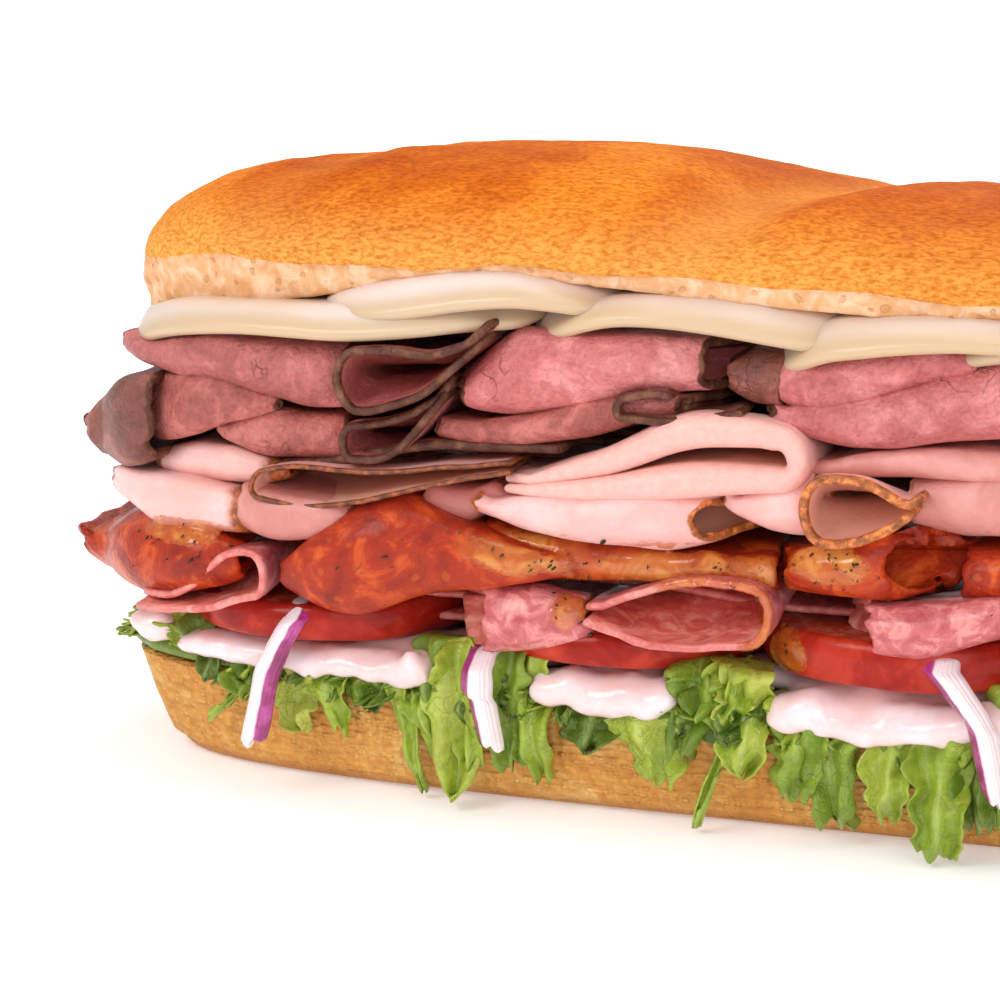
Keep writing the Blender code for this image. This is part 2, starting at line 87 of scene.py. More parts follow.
# %% Lights
def area_light(name, place, aim, size, power, tint=(1.0, 1.0, 1.0)):
    data = bpy.data.lights.new(name, "AREA")
    data.shape, data.size, data.size_y = "RECTANGLE", size[0], size[1]
    data.energy, data.color = power, tint
    lamp = bpy.data.objects.new(name, data)
    scene.collection.objects.link(lamp)
    lamp.location = place
    away = Vector(place) - Vector(aim)
    lamp.rotation_mode = "QUATERNION"
    lamp.rotation_quaternion = away.to_track_quat("Z", "Y")
    return lamp


MIDDLE = (0.0, 0.0, 0.06)
area_light("key_light", (-0.55, -0.75, 0.80), MIDDLE, (0.55, 0.45), 4.6)
area_light("front_fill", (0.55, -0.95, 0.40), MIDDLE, (0.8, 0.6), 2.6)
area_light("top_light", (0.10, 0.10, 1.1), MIDDLE, (0.9, 0.7), 4.5)
area_light("rim_light", (0.30, 0.95, 0.65), MIDDLE, (0.8, 0.5), 2.5)
world = bpy.data.worlds.new("studio")
scene.world = world
world.use_nodes = True
world.node_tree.nodes["Background"].inputs["Color"].default_value = (1.0, 1.0, 1.0, 1.0)
world.node_tree.nodes["Background"].inputs["Strength"].default_value = 0.62
backdrop = world.node_tree.nodes.new("ShaderNodeBackground")
backdrop.inputs["Color"].default_value = (1.0, 1.0, 1.0, 1.0)
seen = world.node_tree.nodes.new("ShaderNodeLightPath")
choose = world.node_tree.nodes.new("ShaderNodeMixShader")
world.node_tree.links.new(seen.outputs["Is Camera Ray"], choose.inputs[0])
world.node_tree.links.new(world.node_tree.nodes["Background"].outputs[0], choose.inputs[1])
world.node_tree.links.new(backdrop.outputs[0], choose.inputs[2])
world.node_tree.links.new(choose.outputs[0], world.node_tree.nodes["World Output"].inputs[0])
scene.view_settings.view_transform = "Standard"

# %% [markdown]
# ## Disorder that is the same every time
# Food is uneven at every size. A smooth lattice noise, worked out with numpy for whole meshes at once, bends
# every piece. Because it depends only on the place, neighbouring slices bend together and stay apart.

# %% Noise
def lumps(points, size, seed=0):
    """Smooth noise from -1 to 1 at each point. size is how wide its lumps are, in metres."""
    place = np.asarray(points, float) / size + 13.7 * seed + 211.0
    cell = np.floor(place).astype(np.int64)
    share = place - cell
    share = share * share * (3.0 - 2.0 * share)
    total = np.zeros(place.shape[:-1])
    for corner in range(8):
        step = np.array([(corner >> k) & 1 for k in range(3)])
        mixed = ((cell + step) * np.array([73856093, 19349663, 83492791])).sum(-1) & 0x7FFFFFFF
        mixed = ((mixed ^ (mixed >> 13)) * 1274126177) & 0x7FFFFFFF
        mixed = ((mixed ^ (mixed >> 15)) * 668265263) & 0x7FFFFFFF
        weight = np.prod(np.where(step == 1, share, 1.0 - share), axis=-1)
        total += weight * (mixed / 0x3FFFFFFF - 1.0)
    return total


def wander(points, size, reach, seed=0):
    """Moves points by up to about reach in every direction."""
    moved = np.array(points, float)
    shift = np.stack([lumps(points, size, seed + k) for k in range(3)], axis=-1)
    return moved + reach * shift


def soften(value):
    value = np.clip(value, 0.0, 1.0)
    return value * value * (3.0 - 2.0 * value)


# %% [markdown]
# ## Sheets with a round edge
# A slice is a thin sheet, and its cut edge is what the eye reads first: bark on roast beef, a brown line on
# turkey. So a sheet is made as two surfaces joined by a rounded rim, and every point remembers how far it is
# from the rim, which the materials use later.

# %% Meshes from grids
def mesh_object(name, points, faces, marks=None):
    mesh = bpy.data.meshes.new(name)
    mesh.from_pydata([tuple(p) for p in points], [], faces)
    for key, values in (marks or {}).items():
        mesh.attributes.new(key, "FLOAT", "POINT").data.foreach_set("value", np.asarray(values, np.float32))
    mesh.shade_smooth()
    obj = bpy.data.objects.new(name, mesh)
    scene.collection.objects.link(obj)
    return obj


def grid_faces(rows, columns, first=0, flip=False):
    faces = []
    for i in range(rows - 1):
        for j in range(columns - 1):
            a = first + i * columns + j
            quad = (a, a + 1, a + columns + 1, a + columns)
            faces.append(quad[::-1] if flip else quad)
    return faces


def border_of(rows, columns):
    top = [(0, j) for j in range(columns)]
    right = [(i, columns - 1) for i in range(1, rows)]
    bottom = [(rows - 1, j) for j in range(columns - 2, -1, -1)]
    left = [(i, 0) for i in range(rows - 2, 0, -1)]
    return top + right + bottom + left


def unit(vectors):
    return vectors / np.maximum(np.linalg.norm(vectors, axis=-1, keepdims=True), 1e-12)


def sheet_parts(outer, thickness, around=3):
    """Points, faces and marks of a closed sheet. outer is its outer side, rows by columns by 3, and thickness a
    number or one for each point. The rim is rounded in around steps."""
    rows, columns = outer.shape[:2]
    normal = unit(np.cross(np.gradient(outer, axis=1), np.gradient(outer, axis=0)))
    depth = np.broadcast_to(np.asarray(thickness, float), (rows, columns))[..., None]
    inner = outer - normal * depth
    points = [outer.reshape(-1, 3), inner.reshape(-1, 3)]
    count = rows * columns
    faces = grid_faces(rows, columns) + grid_faces(rows, columns, count, True)
    across = np.cumsum(np.linalg.norm(np.diff(outer, axis=1, prepend=outer[:, :1]), axis=-1), axis=1)
    down = np.cumsum(np.linalg.norm(np.diff(outer, axis=0, prepend=outer[:1]), axis=-1), axis=0)
    edge = np.minimum(
        np.minimum(across, across[:, -1:] - across), np.minimum(down, down[-1:] - down)
    ).ravel()
    border = border_of(rows, columns)
    out = []
    for i, j in border:
        ni, nj = min(max(i, 1), rows - 2), min(max(j, 1), columns - 2)
        out.append(outer[i, j] - outer[ni, nj])
    out = unit(np.array(out))
    near = np.array([outer[i, j] for i, j in border])
    far = np.array([inner[i, j] for i, j in border])
    middle, half = 0.5 * (near + far), 0.5 * (near - far)
    reach = np.linalg.norm(half, axis=1, keepdims=True)
    rings = [np.array([i * columns + j for i, j in border])]
    for k in range(1, around + 1):
        turn = math.pi * k / (around + 1)
        points.append(middle + half * math.cos(turn) + out * reach * math.sin(turn))
        rings.append(np.arange(len(border)) + count * 2 + (k - 1) * len(border))
    rings.append(rings[0] + count)
    for a, b in zip(rings[:-1], rings[1:]):
        for k in range(len(border)):
            m = (k + 1) % len(border)
            faces.append((int(a[k]), int(b[k]), int(b[m]), int(a[m])))
    extra = np.zeros(len(border) * around)
    marks = {
        "rim": np.concatenate([edge, edge, extra]),
        "inside": np.concatenate([np.zeros(count), np.ones(count), extra + 0.5]),
    }
    return np.concatenate(points), faces, marks


def join_parts(parts):
    """Several sheets as one mesh."""
    points, faces, marks, start = [], [], {}, 0
    for part_points, part_faces, part_marks in parts:
        points.append(part_points)
        faces += [tuple(v + start for v in face) for face in part_faces]
        for key, values in part_marks.items():
            marks.setdefault(key, []).append(values)
        start += len(part_points)
    return np.concatenate(points), faces, {k: np.concatenate(v) for k, v in marks.items()}


def sheet_object(name, outer, thickness, around=3):
    return mesh_object(name, *sheet_parts(outer, thickness, around))


# %% [markdown]
# ## Shader building blocks
# Several finishes share the same effects: a mottled colour, fine relief, a browned rim, cracks, pores and herb
# specks. Each effect is a node group with named sockets, built once. A small helper writes the wiring.

# %% Node helpers
def new_group(name, inputs, outputs):
    group = bpy.data.node_groups.new(name, "ShaderNodeTree")
    kinds = {"value": "NodeSocketFloat", "colour": "NodeSocketColor", "vector": "NodeSocketVector"}
    for label, kind, default in inputs:
        socket = group.interface.new_socket(name=label, in_out="INPUT", socket_type=kinds[kind])
        if default is not None:
            socket.default_value = default
    for label, kind in outputs:
        group.interface.new_socket(name=label, in_out="OUTPUT", socket_type=kinds[kind])
    start, end = group.nodes.new("NodeGroupInput"), group.nodes.new("NodeGroupOutput")
    return group, start, end


def add_node(tree, kind, settings=None, **inputs):
    """Adds a node. A keyword sets an input by its name, with _ for a space: a socket is linked, a value is set."""
    made = tree.nodes.new("ShaderNode" + kind)
    for key, value in (settings or {}).items():
        setattr(made, key, value)
    for key, value in inputs.items():
        label = key.replace("_", " ")
        socket = made.inputs[int(key[1:])] if key[0] == "n" and key[1:].isdigit() else made.inputs[label]
        if isinstance(value, bpy.types.NodeSocket):
            tree.links.new(value, socket)
        else:
            socket.default_value = value
    return made


def ramp(tree, factor, stops):
    """A colour ramp: stops are (place, colour) or (place, grey)."""
    node = tree.nodes.new("ShaderNodeValToRGB")
    tree.links.new(factor, node.inputs["Fac"])
    elements = node.color_ramp.elements
    while len(elements) < len(stops):
        elements.new(0.5)
    for element, (place, colour) in zip(elements, stops):
        element.position = place
        element.color = (*colour, 1.0) if isinstance(colour, tuple) else (colour, colour, colour, 1.0)
    return node.outputs["Color"]


def math_node(tree, operation, a, b=None, clamp=False):
    node = tree.nodes.new("ShaderNodeMath")
    node.operation, node.use_clamp = operation, clamp
    for socket, value in zip(node.inputs, (a, b)):
        if isinstance(value, bpy.types.NodeSocket):
            tree.links.new(value, socket)
        elif value is not None:
            socket.default_value = value
    return node.outputs[0]


def blend_colour(tree, factor, a, b, kind="MIX"):
    node = tree.nodes.new("ShaderNodeMix")
    node.data_type, node.blend_type = "RGBA", kind
    for socket, value in ((node.inputs[0], factor), (node.inputs[6], a), (node.inputs[7], b)):
        if isinstance(value, bpy.types.NodeSocket):
            tree.links.new(value, socket)
        elif isinstance(value, tuple):
            socket.default_value = (*value, 1.0)
        else:
            socket.default_value = value
    return node.outputs[2]


# %% Mottle: a colour that wanders between three tones
def make_mottle():
    group, start, end = new_group(
        "mottle",
        [
            ("Vector", "vector", None),
            ("Scale", "value", 100.0),
            ("Stretch", "value", 0.0),
            ("Dark", "colour", (0.5, 0.5, 0.5, 1.0)),
            ("Middle", "colour", (0.5, 0.5, 0.5, 1.0)),
            ("Light", "colour", (0.5, 0.5, 0.5, 1.0)),
        ],
        [("Colour", "colour"), ("Value", "value")],
    )
    s = start.outputs
    swirl = add_node(group, "TexNoise", Vector=s["Vector"], Scale=s["Scale"], Detail=4.0, Roughness=0.62,
                     Distortion=s["Stretch"])
    value = swirl.outputs["Fac"]
    low = math_node(group, "MULTIPLY_ADD", value, 4.0, True)
    group.nodes[-1].inputs[2].default_value = -1.35
    high = math_node(group, "MULTIPLY_ADD", value, 5.0, True)
    group.nodes[-1].inputs[2].default_value = -2.55
    tone = blend_colour(group, low, s["Dark"], s["Middle"])
    tone = blend_colour(group, high, tone, s["Light"])
    group.links.new(tone, end.inputs["Colour"])
    group.links.new(value, end.inputs["Value"])
    return group


MOTTLE = make_mottle()


# %% Relief: small bumps of two sizes as one height
def make_relief():
    group, start, end = new_group(
        "relief",
        [("Vector", "vector", None), ("Fine", "value", 900.0), ("Coarse", "value", 200.0), ("Share", "value", 0.5)],
        [("Height", "value")],
    )
    s = start.outputs
    fine = add_node(group, "TexNoise", Vector=s["Vector"], Scale=s["Fine"], Detail=3.0, Roughness=0.6)
    coarse = add_node(group, "TexNoise", Vector=s["Vector"], Scale=s["Coarse"], Detail=3.0, Roughness=0.55)
    mixed = add_node(group, "Mix", {"data_type": "FLOAT"}, n0=s["Share"], n2=fine.outputs["Fac"],
                     n3=coarse.outputs["Fac"])
    group.links.new(mixed.outputs[0], end.inputs["Height"])
    return group


RELIEF = make_relief()


# %% Rim: how browned a slice is near its edge
def make_rim():
    group, start, end = new_group(
        "browned_rim",
        [("Vector", "vector", None), ("Width", "value", 0.001), ("Ragged", "value", 0.5)],
        [("Mask", "value")],
    )
    s = start.outputs
    far = add_node(group, "Attribute", {"attribute_name": "rim"})
    uneven = add_node(group, "TexNoise", Vector=s["Vector"], Scale=260.0, Detail=3.0)
    shift = math_node(group, "SUBTRACT", uneven.outputs["Fac"], 0.5)
    shift = math_node(group, "MULTIPLY", shift, s["Ragged"])
    shift = math_node(group, "MULTIPLY", shift, s["Width"])
    far_in = math_node(group, "ADD", far.outputs["Fac"], shift)
    share = math_node(group, "DIVIDE", far_in, s["Width"])
    mask = add_node(group, "MapRange", {"interpolation_type": "SMOOTHSTEP"}, Value=share, From_Min=0.55,
                    From_Max=1.1, To_Min=1.0, To_Max=0.0)
    group.links.new(mask.outputs[0], end.inputs["Mask"])
    return group


RIM = make_rim()


# %% Cracks: the thin splits between muscle fibres
def make_cracks():
    group, start, end = new_group(
        "cracks",
        [("Vector", "vector", None), ("Scale", "value", 120.0), ("Width", "value", 0.03), ("Amount", "value", 0.5)],
        [("Mask", "value")],
    )
    s = start.outputs
    bend = add_node(group, "TexNoise", Vector=s["Vector"], Scale=140.0, Detail=3.0)
    pushed = add_node(group, "VectorMath", {"operation": "MULTIPLY_ADD"}, n0=bend.outputs["Color"],
                      n1=(0.010, 0.010, 0.010), n2=s["Vector"])
    cells = add_node(group, "TexVoronoi", {"feature": "DISTANCE_TO_EDGE"}, Vector=pushed.outputs[0],
                     Scale=s["Scale"])
    line = add_node(group, "MapRange", Value=cells.outputs["Distance"], From_Min=0.0, From_Max=s["Width"],
                    To_Min=1.0, To_Max=0.0)
    where = add_node(group, "TexNoise", Vector=s["Vector"], Scale=75.0, Detail=2.0)
    gate = math_node(group, "SUBTRACT", where.outputs["Fac"], math_node(group, "SUBTRACT", 1.0, s["Amount"]))
    gate = math_node(group, "MULTIPLY", gate, 9.0, True)
    group.links.new(math_node(group, "MULTIPLY", line.outputs[0], gate), end.inputs["Mask"])
    return group


CRACKS = make_cracks()


# %% Flecks: scattered spots of fat, pepper or herbs
def make_flecks():
    group, start, end = new_group(
        "flecks",
        [("Vector", "vector", None), ("Scale", "value", 300.0), ("Size", "value", 0.25), ("Amount", "value", 0.3)],
        [("Mask", "value")],
    )
    s = start.outputs
    bend = add_node(group, "TexNoise", Vector=s["Vector"], Scale=420.0, Detail=2.0)
    pushed = add_node(group, "VectorMath", {"operation": "MULTIPLY_ADD"}, n0=bend.outputs["Color"],
                      n1=(0.0022, 0.0022, 0.0022), n2=s["Vector"])
    spots = add_node(group, "TexVoronoi", Vector=pushed.outputs[0], Scale=s["Scale"])
    near = add_node(group, "MapRange", {"interpolation_type": "SMOOTHSTEP"}, Value=spots.outputs["Distance"],
                    From_Min=math_node(group, "MULTIPLY", s["Size"], 0.7), From_Max=s["Size"], To_Min=1.0,
                    To_Max=0.0)
    pick = add_node(group, "SeparateColor", Color=spots.outputs["Color"])
    chosen = math_node(group, "LESS_THAN", pick.outputs[0], s["Amount"])
    group.links.new(math_node(group, "MULTIPLY", near.outputs[0], chosen), end.inputs["Mask"])
    return group


FLECKS = make_flecks()
print("shader groups:", len(bpy.data.node_groups))


# %% Material helpers
def new_material(name, roughness=0.5, **constants):
    """A material with its Principled shader. Constants go straight on the shader's sockets."""
    made = bpy.data.materials.new(name)
    made.use_nodes = True
    tree = made.node_tree
    shader = tree.nodes["Principled BSDF"]
    shader.inputs["Roughness"].default_value = roughness
    for key, value in constants.items():
        shader.inputs[key.replace("_", " ")].default_value = value
    place = tree.nodes.new("ShaderNodeTexCoord").outputs["Object"]
    return made, tree, shader, place


def use_group(tree, group, **inputs):
    made = tree.nodes.new("ShaderNodeGroup")
    made.node_tree = group
    for key, value in inputs.items():
        socket = made.inputs[key]
        if isinstance(value, bpy.types.NodeSocket):
            tree.links.new(value, socket)
        elif isinstance(value, tuple) and len(value) == 3 and socket.type == "RGBA":
            socket.default_value = (*value, 1.0)
        else:
            socket.default_value = value
    return made.outputs


def add_bump(tree, shader, height, distance, strength=1.0, below=None):
    node = add_node(tree, "Bump", Height=height, Distance=distance, Strength=strength)
    if below is not None:
        tree.links.new(below, node.inputs["Normal"])
    tree.links.new(node.outputs["Normal"], shader.inputs["Normal"])
    return node.outputs["Normal"]


def attribute(tree, name):
    return add_node(tree, "Attribute", {"attribute_name": name}).outputs["Fac"]


# %% [markdown]
# ## Meat and cheese finishes
# Roast beef is matt and fibrous, with splits and a rough brown bark at its edge. Turkey is smooth and
# pale with a thin browned line. The cured sausages are wet with fat. Each finish is the shared effects with its
# own values.

# %% Roast beef
def make_beef(name="roast_beef", dark=(0.44, 0.115, 0.105), middle=(0.66, 0.195, 0.180), light=(0.84, 0.300, 0.280),
              rim_width=0.0008):
    made, tree, shader, place = new_material(name, 0.42, Specular_IOR_Level=0.35)
    tone = use_group(tree, MOTTLE, Vector=place, Scale=85.0, Stretch=0.7, Dark=dark, Middle=middle, Light=light)
    grain = use_group(tree, MOTTLE, Vector=place, Scale=620.0, Stretch=1.2, Dark=(0.58, 0.50, 0.50),
                      Middle=(1.0, 1.0, 1.0), Light=(1.0, 1.0, 1.0))
    colour = blend_colour(tree, 0.6, tone["Colour"], grain["Colour"], "MULTIPLY")
    wide = use_group(tree, MOTTLE, Vector=place, Scale=30.0, Stretch=0.4, Dark=(0.66, 0.62, 0.62),
                     Middle=(1.0, 1.0, 1.0), Light=(1.0, 1.0, 1.0))
    colour = blend_colour(tree, 0.45, colour, wide["Colour"], "MULTIPLY")
    cracks = use_group(tree, CRACKS, Vector=place, Scale=170.0, Width=0.022, Amount=0.44)
    colour = blend_colour(tree, math_node(tree, "MULTIPLY", cracks["Mask"], 0.50), colour, (0.32, 0.065, 0.060))
    rim = use_group(tree, RIM, Vector=place, Width=rim_width, Ragged=1.2)
    bark = use_group(tree, MOTTLE, Vector=place, Scale=260.0, Dark=(0.070, 0.018, 0.010),
                     Middle=(0.150, 0.048, 0.024), Light=(0.260, 0.110, 0.060))
    colour = blend_colour(tree, rim["Mask"], colour, bark["Colour"])
    tree.links.new(colour, shader.inputs["Base Color"])
    fine = use_group(tree, RELIEF, Vector=place, Fine=1300.0, Coarse=300.0, Share=0.45)
    first = add_bump(tree, shader, fine["Height"], 0.0011, 0.8)
    add_bump(tree, shader, cracks["Mask"], -0.0004, 0.8, first)
    return made


# %% Turkey breast
def make_turkey(name, dark, middle, light, rim_colour, rim_width, spots=0.35, glow=1.9):
    made, tree, shader, place = new_material(
        name, 0.36, Specular_IOR_Level=0.45, Subsurface_Weight=0.12, Subsurface_Scale=0.004
    )
    shader.inputs["Subsurface Radius"].default_value = (1.0, 0.4, 0.3)
    tone = use_group(tree, MOTTLE, Vector=place, Scale=55.0, Stretch=0.3, Dark=dark, Middle=middle, Light=light)
    colour = tone["Colour"]
    # painted shade: the inner side of each sheet is blended towards a darker, warmer colour, as shade inside the folds
    inside = attribute(tree, "inside")
    colour = blend_colour(tree, math_node(tree, "MULTIPLY", inside, 0.55), colour, (0.80, 0.42, 0.26))
    rim = use_group(tree, RIM, Vector=place, Width=rim_width, Ragged=0.8)
    bark = use_group(tree, MOTTLE, Vector=place, Scale=600.0, Dark=tuple(spots * v for v in rim_colour),
                     Middle=rim_colour, Light=tuple(min(1.0, glow * v) for v in rim_colour))
    colour = blend_colour(tree, rim["Mask"], colour, bark["Colour"])
    tree.links.new(colour, shader.inputs["Base Color"])
    fine = use_group(tree, RELIEF, Vector=place, Fine=1100.0, Coarse=150.0, Share=0.6)
    first = add_bump(tree, shader, fine["Height"], 0.0007, 0.7)
    grain = use_group(tree, CRACKS, Vector=place, Scale=120.0, Width=0.020, Amount=0.25)
    add_bump(tree, shader, grain["Mask"], -0.0003, 0.5, first)
    return made


# %% Cured sausages
def make_salami():
    made, tree, shader, place = new_material("salami", 0.32, Specular_IOR_Level=0.4, Coat_Weight=0.25,
                                             Coat_Roughness=0.15)
    tone = use_group(tree, MOTTLE, Vector=place, Scale=240.0, Stretch=0.8, Dark=(0.44, 0.070, 0.078),
                     Middle=(0.70, 0.190, 0.190), Light=(0.82, 0.36, 0.33))
    # painted light: the inner side of each sheet gets its own lighter mottle, which lifts it out of the shade inside
    # the rolls and folds
    inside = attribute(tree, "inside")
    inner = use_group(tree, MOTTLE, Vector=place, Scale=150.0, Stretch=1.8, Dark=(0.64, 0.110, 0.090),
                      Middle=(0.88, 0.270, 0.210), Light=(0.95, 0.52, 0.43))
    colour = blend_colour(tree, inside, tone["Colour"], inner["Colour"])
    tree.links.new(colour, shader.inputs["Base Color"])
    fine = use_group(tree, RELIEF, Vector=place, Fine=800.0, Coarse=260.0, Share=0.55)
    add_bump(tree, shader, fine["Height"], 0.0006, 0.8)
    return made


def make_pepperoni():
    made, tree, shader, place = new_material("pepperoni", 0.36, Specular_IOR_Level=0.2, Coat_Weight=0.16,
                                             Coat_Roughness=0.16)
    tone = use_group(tree, MOTTLE, Vector=place, Scale=110.0, Stretch=0.8, Dark=(0.26, 0.016, 0.006),
                     Middle=(0.49, 0.040, 0.007), Light=(0.71, 0.130, 0.020))
    fat = use_group(tree, FLECKS, Vector=place, Scale=330.0, Size=0.34, Amount=0.30)
    colour = blend_colour(tree, math_node(tree, "MULTIPLY", fat["Mask"], 0.20), tone["Colour"],
                          (0.80, 0.20, 0.040))
    tree.links.new(colour, shader.inputs["Base Color"])
    fine = use_group(tree, RELIEF, Vector=place, Fine=620.0, Coarse=170.0, Share=0.6)
    add_bump(tree, shader, fine["Height"], 0.0014, 0.8)
    return made


# %% Cheese
def make_cheese():
    made, tree, shader, place = new_material("cheese", 0.30, Specular_IOR_Level=0.45, Subsurface_Weight=0.25,
                                             Subsurface_Scale=0.006)
    shader.inputs["Subsurface Radius"].default_value = (1.0, 0.8, 0.5)
    tone = use_group(tree, MOTTLE, Vector=place, Scale=26.0, Stretch=0.2, Dark=(0.70, 0.55, 0.43),
                     Middle=(0.76, 0.62, 0.55), Light=(0.80, 0.67, 0.63))
    # painted shade: the colour darkens towards the rim, where the slice droops and turns away from the light
    face = add_node(tree, "MapRange", {"interpolation_type": "SMOOTHSTEP"}, Value=attribute(tree, "rim"),
                    From_Min=0.0004, From_Max=0.0046, To_Min=0.85, To_Max=0.0)
    colour = blend_colour(tree, face.outputs[0], tone["Colour"], (0.60, 0.42, 0.24))
    tree.links.new(colour, shader.inputs["Base Color"])
    fine = use_group(tree, RELIEF, Vector=place, Fine=500.0, Coarse=90.0, Share=0.7)
    add_bump(tree, shader, fine["Height"], 0.00025, 0.6)
    return made


BEEF_LOOK = make_beef()
BEEF_PINK = make_beef("roast_beef_pink", (0.54, 0.125, 0.118), (0.75, 0.235, 0.228), (0.88, 0.340, 0.335))
BEEF_DEEP = make_beef("roast_beef_deep", (0.30, 0.070, 0.055), (0.56, 0.155, 0.130), (0.72, 0.240, 0.205))
BEEF_EDGE = make_beef("roast_beef_bark_edge", (0.44, 0.110, 0.095), (0.68, 0.200, 0.180), (0.82, 0.300, 0.280),
                      0.0011)
BEEF_DARK = make_beef("roast_beef_outside", (0.16, 0.045, 0.030), (0.33, 0.105, 0.075), (0.52, 0.20, 0.16))
TURKEY_LOOK = make_turkey("turkey", (0.82, 0.39, 0.34), (0.92, 0.50, 0.46), (0.96, 0.60, 0.58),
                          (0.26, 0.070, 0.024), 0.0007)
TURKEY_GOLD = make_turkey("turkey_golden_rim", (0.80, 0.39, 0.35), (0.90, 0.49, 0.46), (0.95, 0.60, 0.58),
                          (0.56, 0.16, 0.040), 0.0009)
TURKEY_BARK = make_turkey("turkey_bark", (0.86, 0.46, 0.41), (0.94, 0.56, 0.53), (0.97, 0.66, 0.65),
                          (0.40, 0.105, 0.028), 0.0050)
TURKEY_PALE = make_turkey("turkey_pale_rim", (0.58, 0.21, 0.18), (0.70, 0.29, 0.25), (0.80, 0.39, 0.36),
                          (0.66, 0.26, 0.17), 0.0005)
TURKEY_PLAIN = make_turkey("turkey_plain", (0.82, 0.40, 0.33), (0.92, 0.50, 0.44), (0.96, 0.60, 0.56),
                           (0.90, 0.48, 0.42), 0.0004, 0.92, 1.05)
SALAMI_LOOK = make_salami()
PEPPERONI_LOOK = make_pepperoni()
CHEESE_LOOK = make_cheese()
print("finishes so far:", len(bpy.data.materials))


# %% [markdown]
# ## Folded slices
# A slice of meat is a thin disc that someone has folded by hand, so its crease makes a soft roll along the front
# and its cut edge shows at the ends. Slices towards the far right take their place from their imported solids. The
# others have their own ends and heights, in millimetres. The section is drawn again as a smooth path with many
# steps: the lower ply, round the crease, the upper ply, and a turn back inside.

# %% Where a packed slice lies
def node_points(name):
    mesh = frame["nodes"][name].data
    points = np.empty(3 * len(mesh.vertices))
    mesh.vertices.foreach_get("co", points)
    return points.reshape(-1, 3)


def packed_profile(name, loop=None):
    """Places along the roll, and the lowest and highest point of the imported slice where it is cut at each."""
    points = node_points(name)
    mesh = frame["nodes"][name].data
    edges = np.empty(2 * len(mesh.edges), np.int64)
    mesh.edges.foreach_get("vertices", edges)
    a, b = points[edges[0::2]], points[edges[1::2]]
    start, end = points[:, 0].min(), points[:, 0].max()
    count = 5 if end - start < 0.0455 else 6
    places = np.linspace(start, end, count)
    low, high = [], []
    for x in np.clip(places, start + 0.0006, end - 0.0006):
        cut = (a[:, 0] - x) * (b[:, 0] - x) <= 0.0
        share = (x - a[cut, 0]) / np.where(np.abs(b[cut, 0] - a[cut, 0]) < 1e-9, 1.0, b[cut, 0] - a[cut, 0])
        z = a[cut, 2] + np.clip(share, 0.0, 1.0) * (b[cut, 2] - a[cut, 2])
        low.append(z.min())
        high.append(z.max())
    if loop == "right":
        low[-1], high[-1] = low[-2], high[-2]
    if loop == "left":
        low[0], high[0] = low[1], high[1]
    return places, np.array(low), np.array(high)


def soft_line(places, values, wanted, share=0.14):
    """Reads values at the wanted places along a line whose corners are rounded."""
    dense = np.linspace(places[0], places[-1], 241)
    line = np.interp(dense, places, values)
    width = max(2, int(share * 240))
    kernel = np.hanning(2 * width + 3)[1:-1]
    line = np.convolve(np.pad(line, width, mode="reflect", reflect_type="odd"), kernel / kernel.sum(), "valid")
    return np.interp(wanted, dense, line)


def millimetres(values, wanted, start, end):
    """A short list of millimetres at even steps from start to end, read at the wanted places."""
    values = np.atleast_1d(np.asarray(values, float))
    if len(values) == 1:
        return np.full(np.shape(wanted), 0.001 * values[0])
    return 0.001 * soft_line(np.linspace(start, end, len(values)), values, wanted)


def measured_profile(name, loop, at, tops, bottoms):
    """Where a slice lies: from its solid, or from its own sizes in millimetres where they are given."""
    places, low, high = packed_profile(name, loop)
    if at is None:
        return places, low, high
    places = np.linspace(0.001 * at[0], 0.001 * at[1], 41)
    even = np.linspace(0.0, 1.0, 41)
    high = 0.001 * np.interp(even, np.linspace(0.0, 1.0, len(tops)), tops)
    low = 0.001 * np.interp(even, np.linspace(0.0, 1.0, len(bottoms)), bottoms)
    return places, low, high


def superellipse(share, power):
    return np.maximum(0.0, 1.0 - np.minimum(1.0, np.abs(share)) ** power) ** (1.0 / power)


def half_depth(x):
    """Half the depth of the filling, which rounds off with the ends of the roll."""
    beyond = np.maximum(0.0, np.abs(x) - 0.0893) / 0.0587
    return 0.0430 * np.maximum(0.50, np.maximum(0.0, 1.0 - np.minimum(1.0, beyond) ** 2.6) ** (1.0 / 2.6))


SIZED_AT = -0.046


def in_place(x, heights, stands):
    """Moves sizes taken on the upright plane at SIZED_AT along the lines of sight to the real front there."""
    eye = camera.location
    moved = np.array(x, float)
    for _ in range(5):
        share = (-half_depth(moved) - stands - SIZED_AT) / (SIZED_AT - eye.y)
        moved = x + (x - eye.x) * share
    return [moved] + [height + (height - eye.z) * share for height in heights]


# %% The sections of a roll and of a fold
def roll_path(low, high, front, depth, thickness, fullness):
    """The outer side of a slice rolled into a tube, as (y, z) points: a drop with its point at the back."""
    rise, middle = 0.5 * (high - low), 0.5 * (high + low)
    bend = min(fullness * rise, 0.45 * depth)
    back, point = front + depth, middle + 0.15 * rise
    way = 1.0 - (1.0 - np.linspace(0.0, 1.0, 13)) ** 1.3
    path = []
    for w in way:
        e = 1.0 - w
        path.append((back - (back - front - bend) * w, low + (point - low) * e**1.7))
    for turn in np.linspace(-0.5 * math.pi, 0.5 * math.pi, 20)[1:-1]:
        path.append((front + bend - bend * math.cos(turn) ** 0.95, middle + rise * math.sin(turn)))
    for w in way[::-1]:
        e = 1.0 - w
        path.append((back + 0.0012 * e - (back - front - bend) * w,
                     high - (high - point - 1.25 * thickness) * e**1.7))
    return path


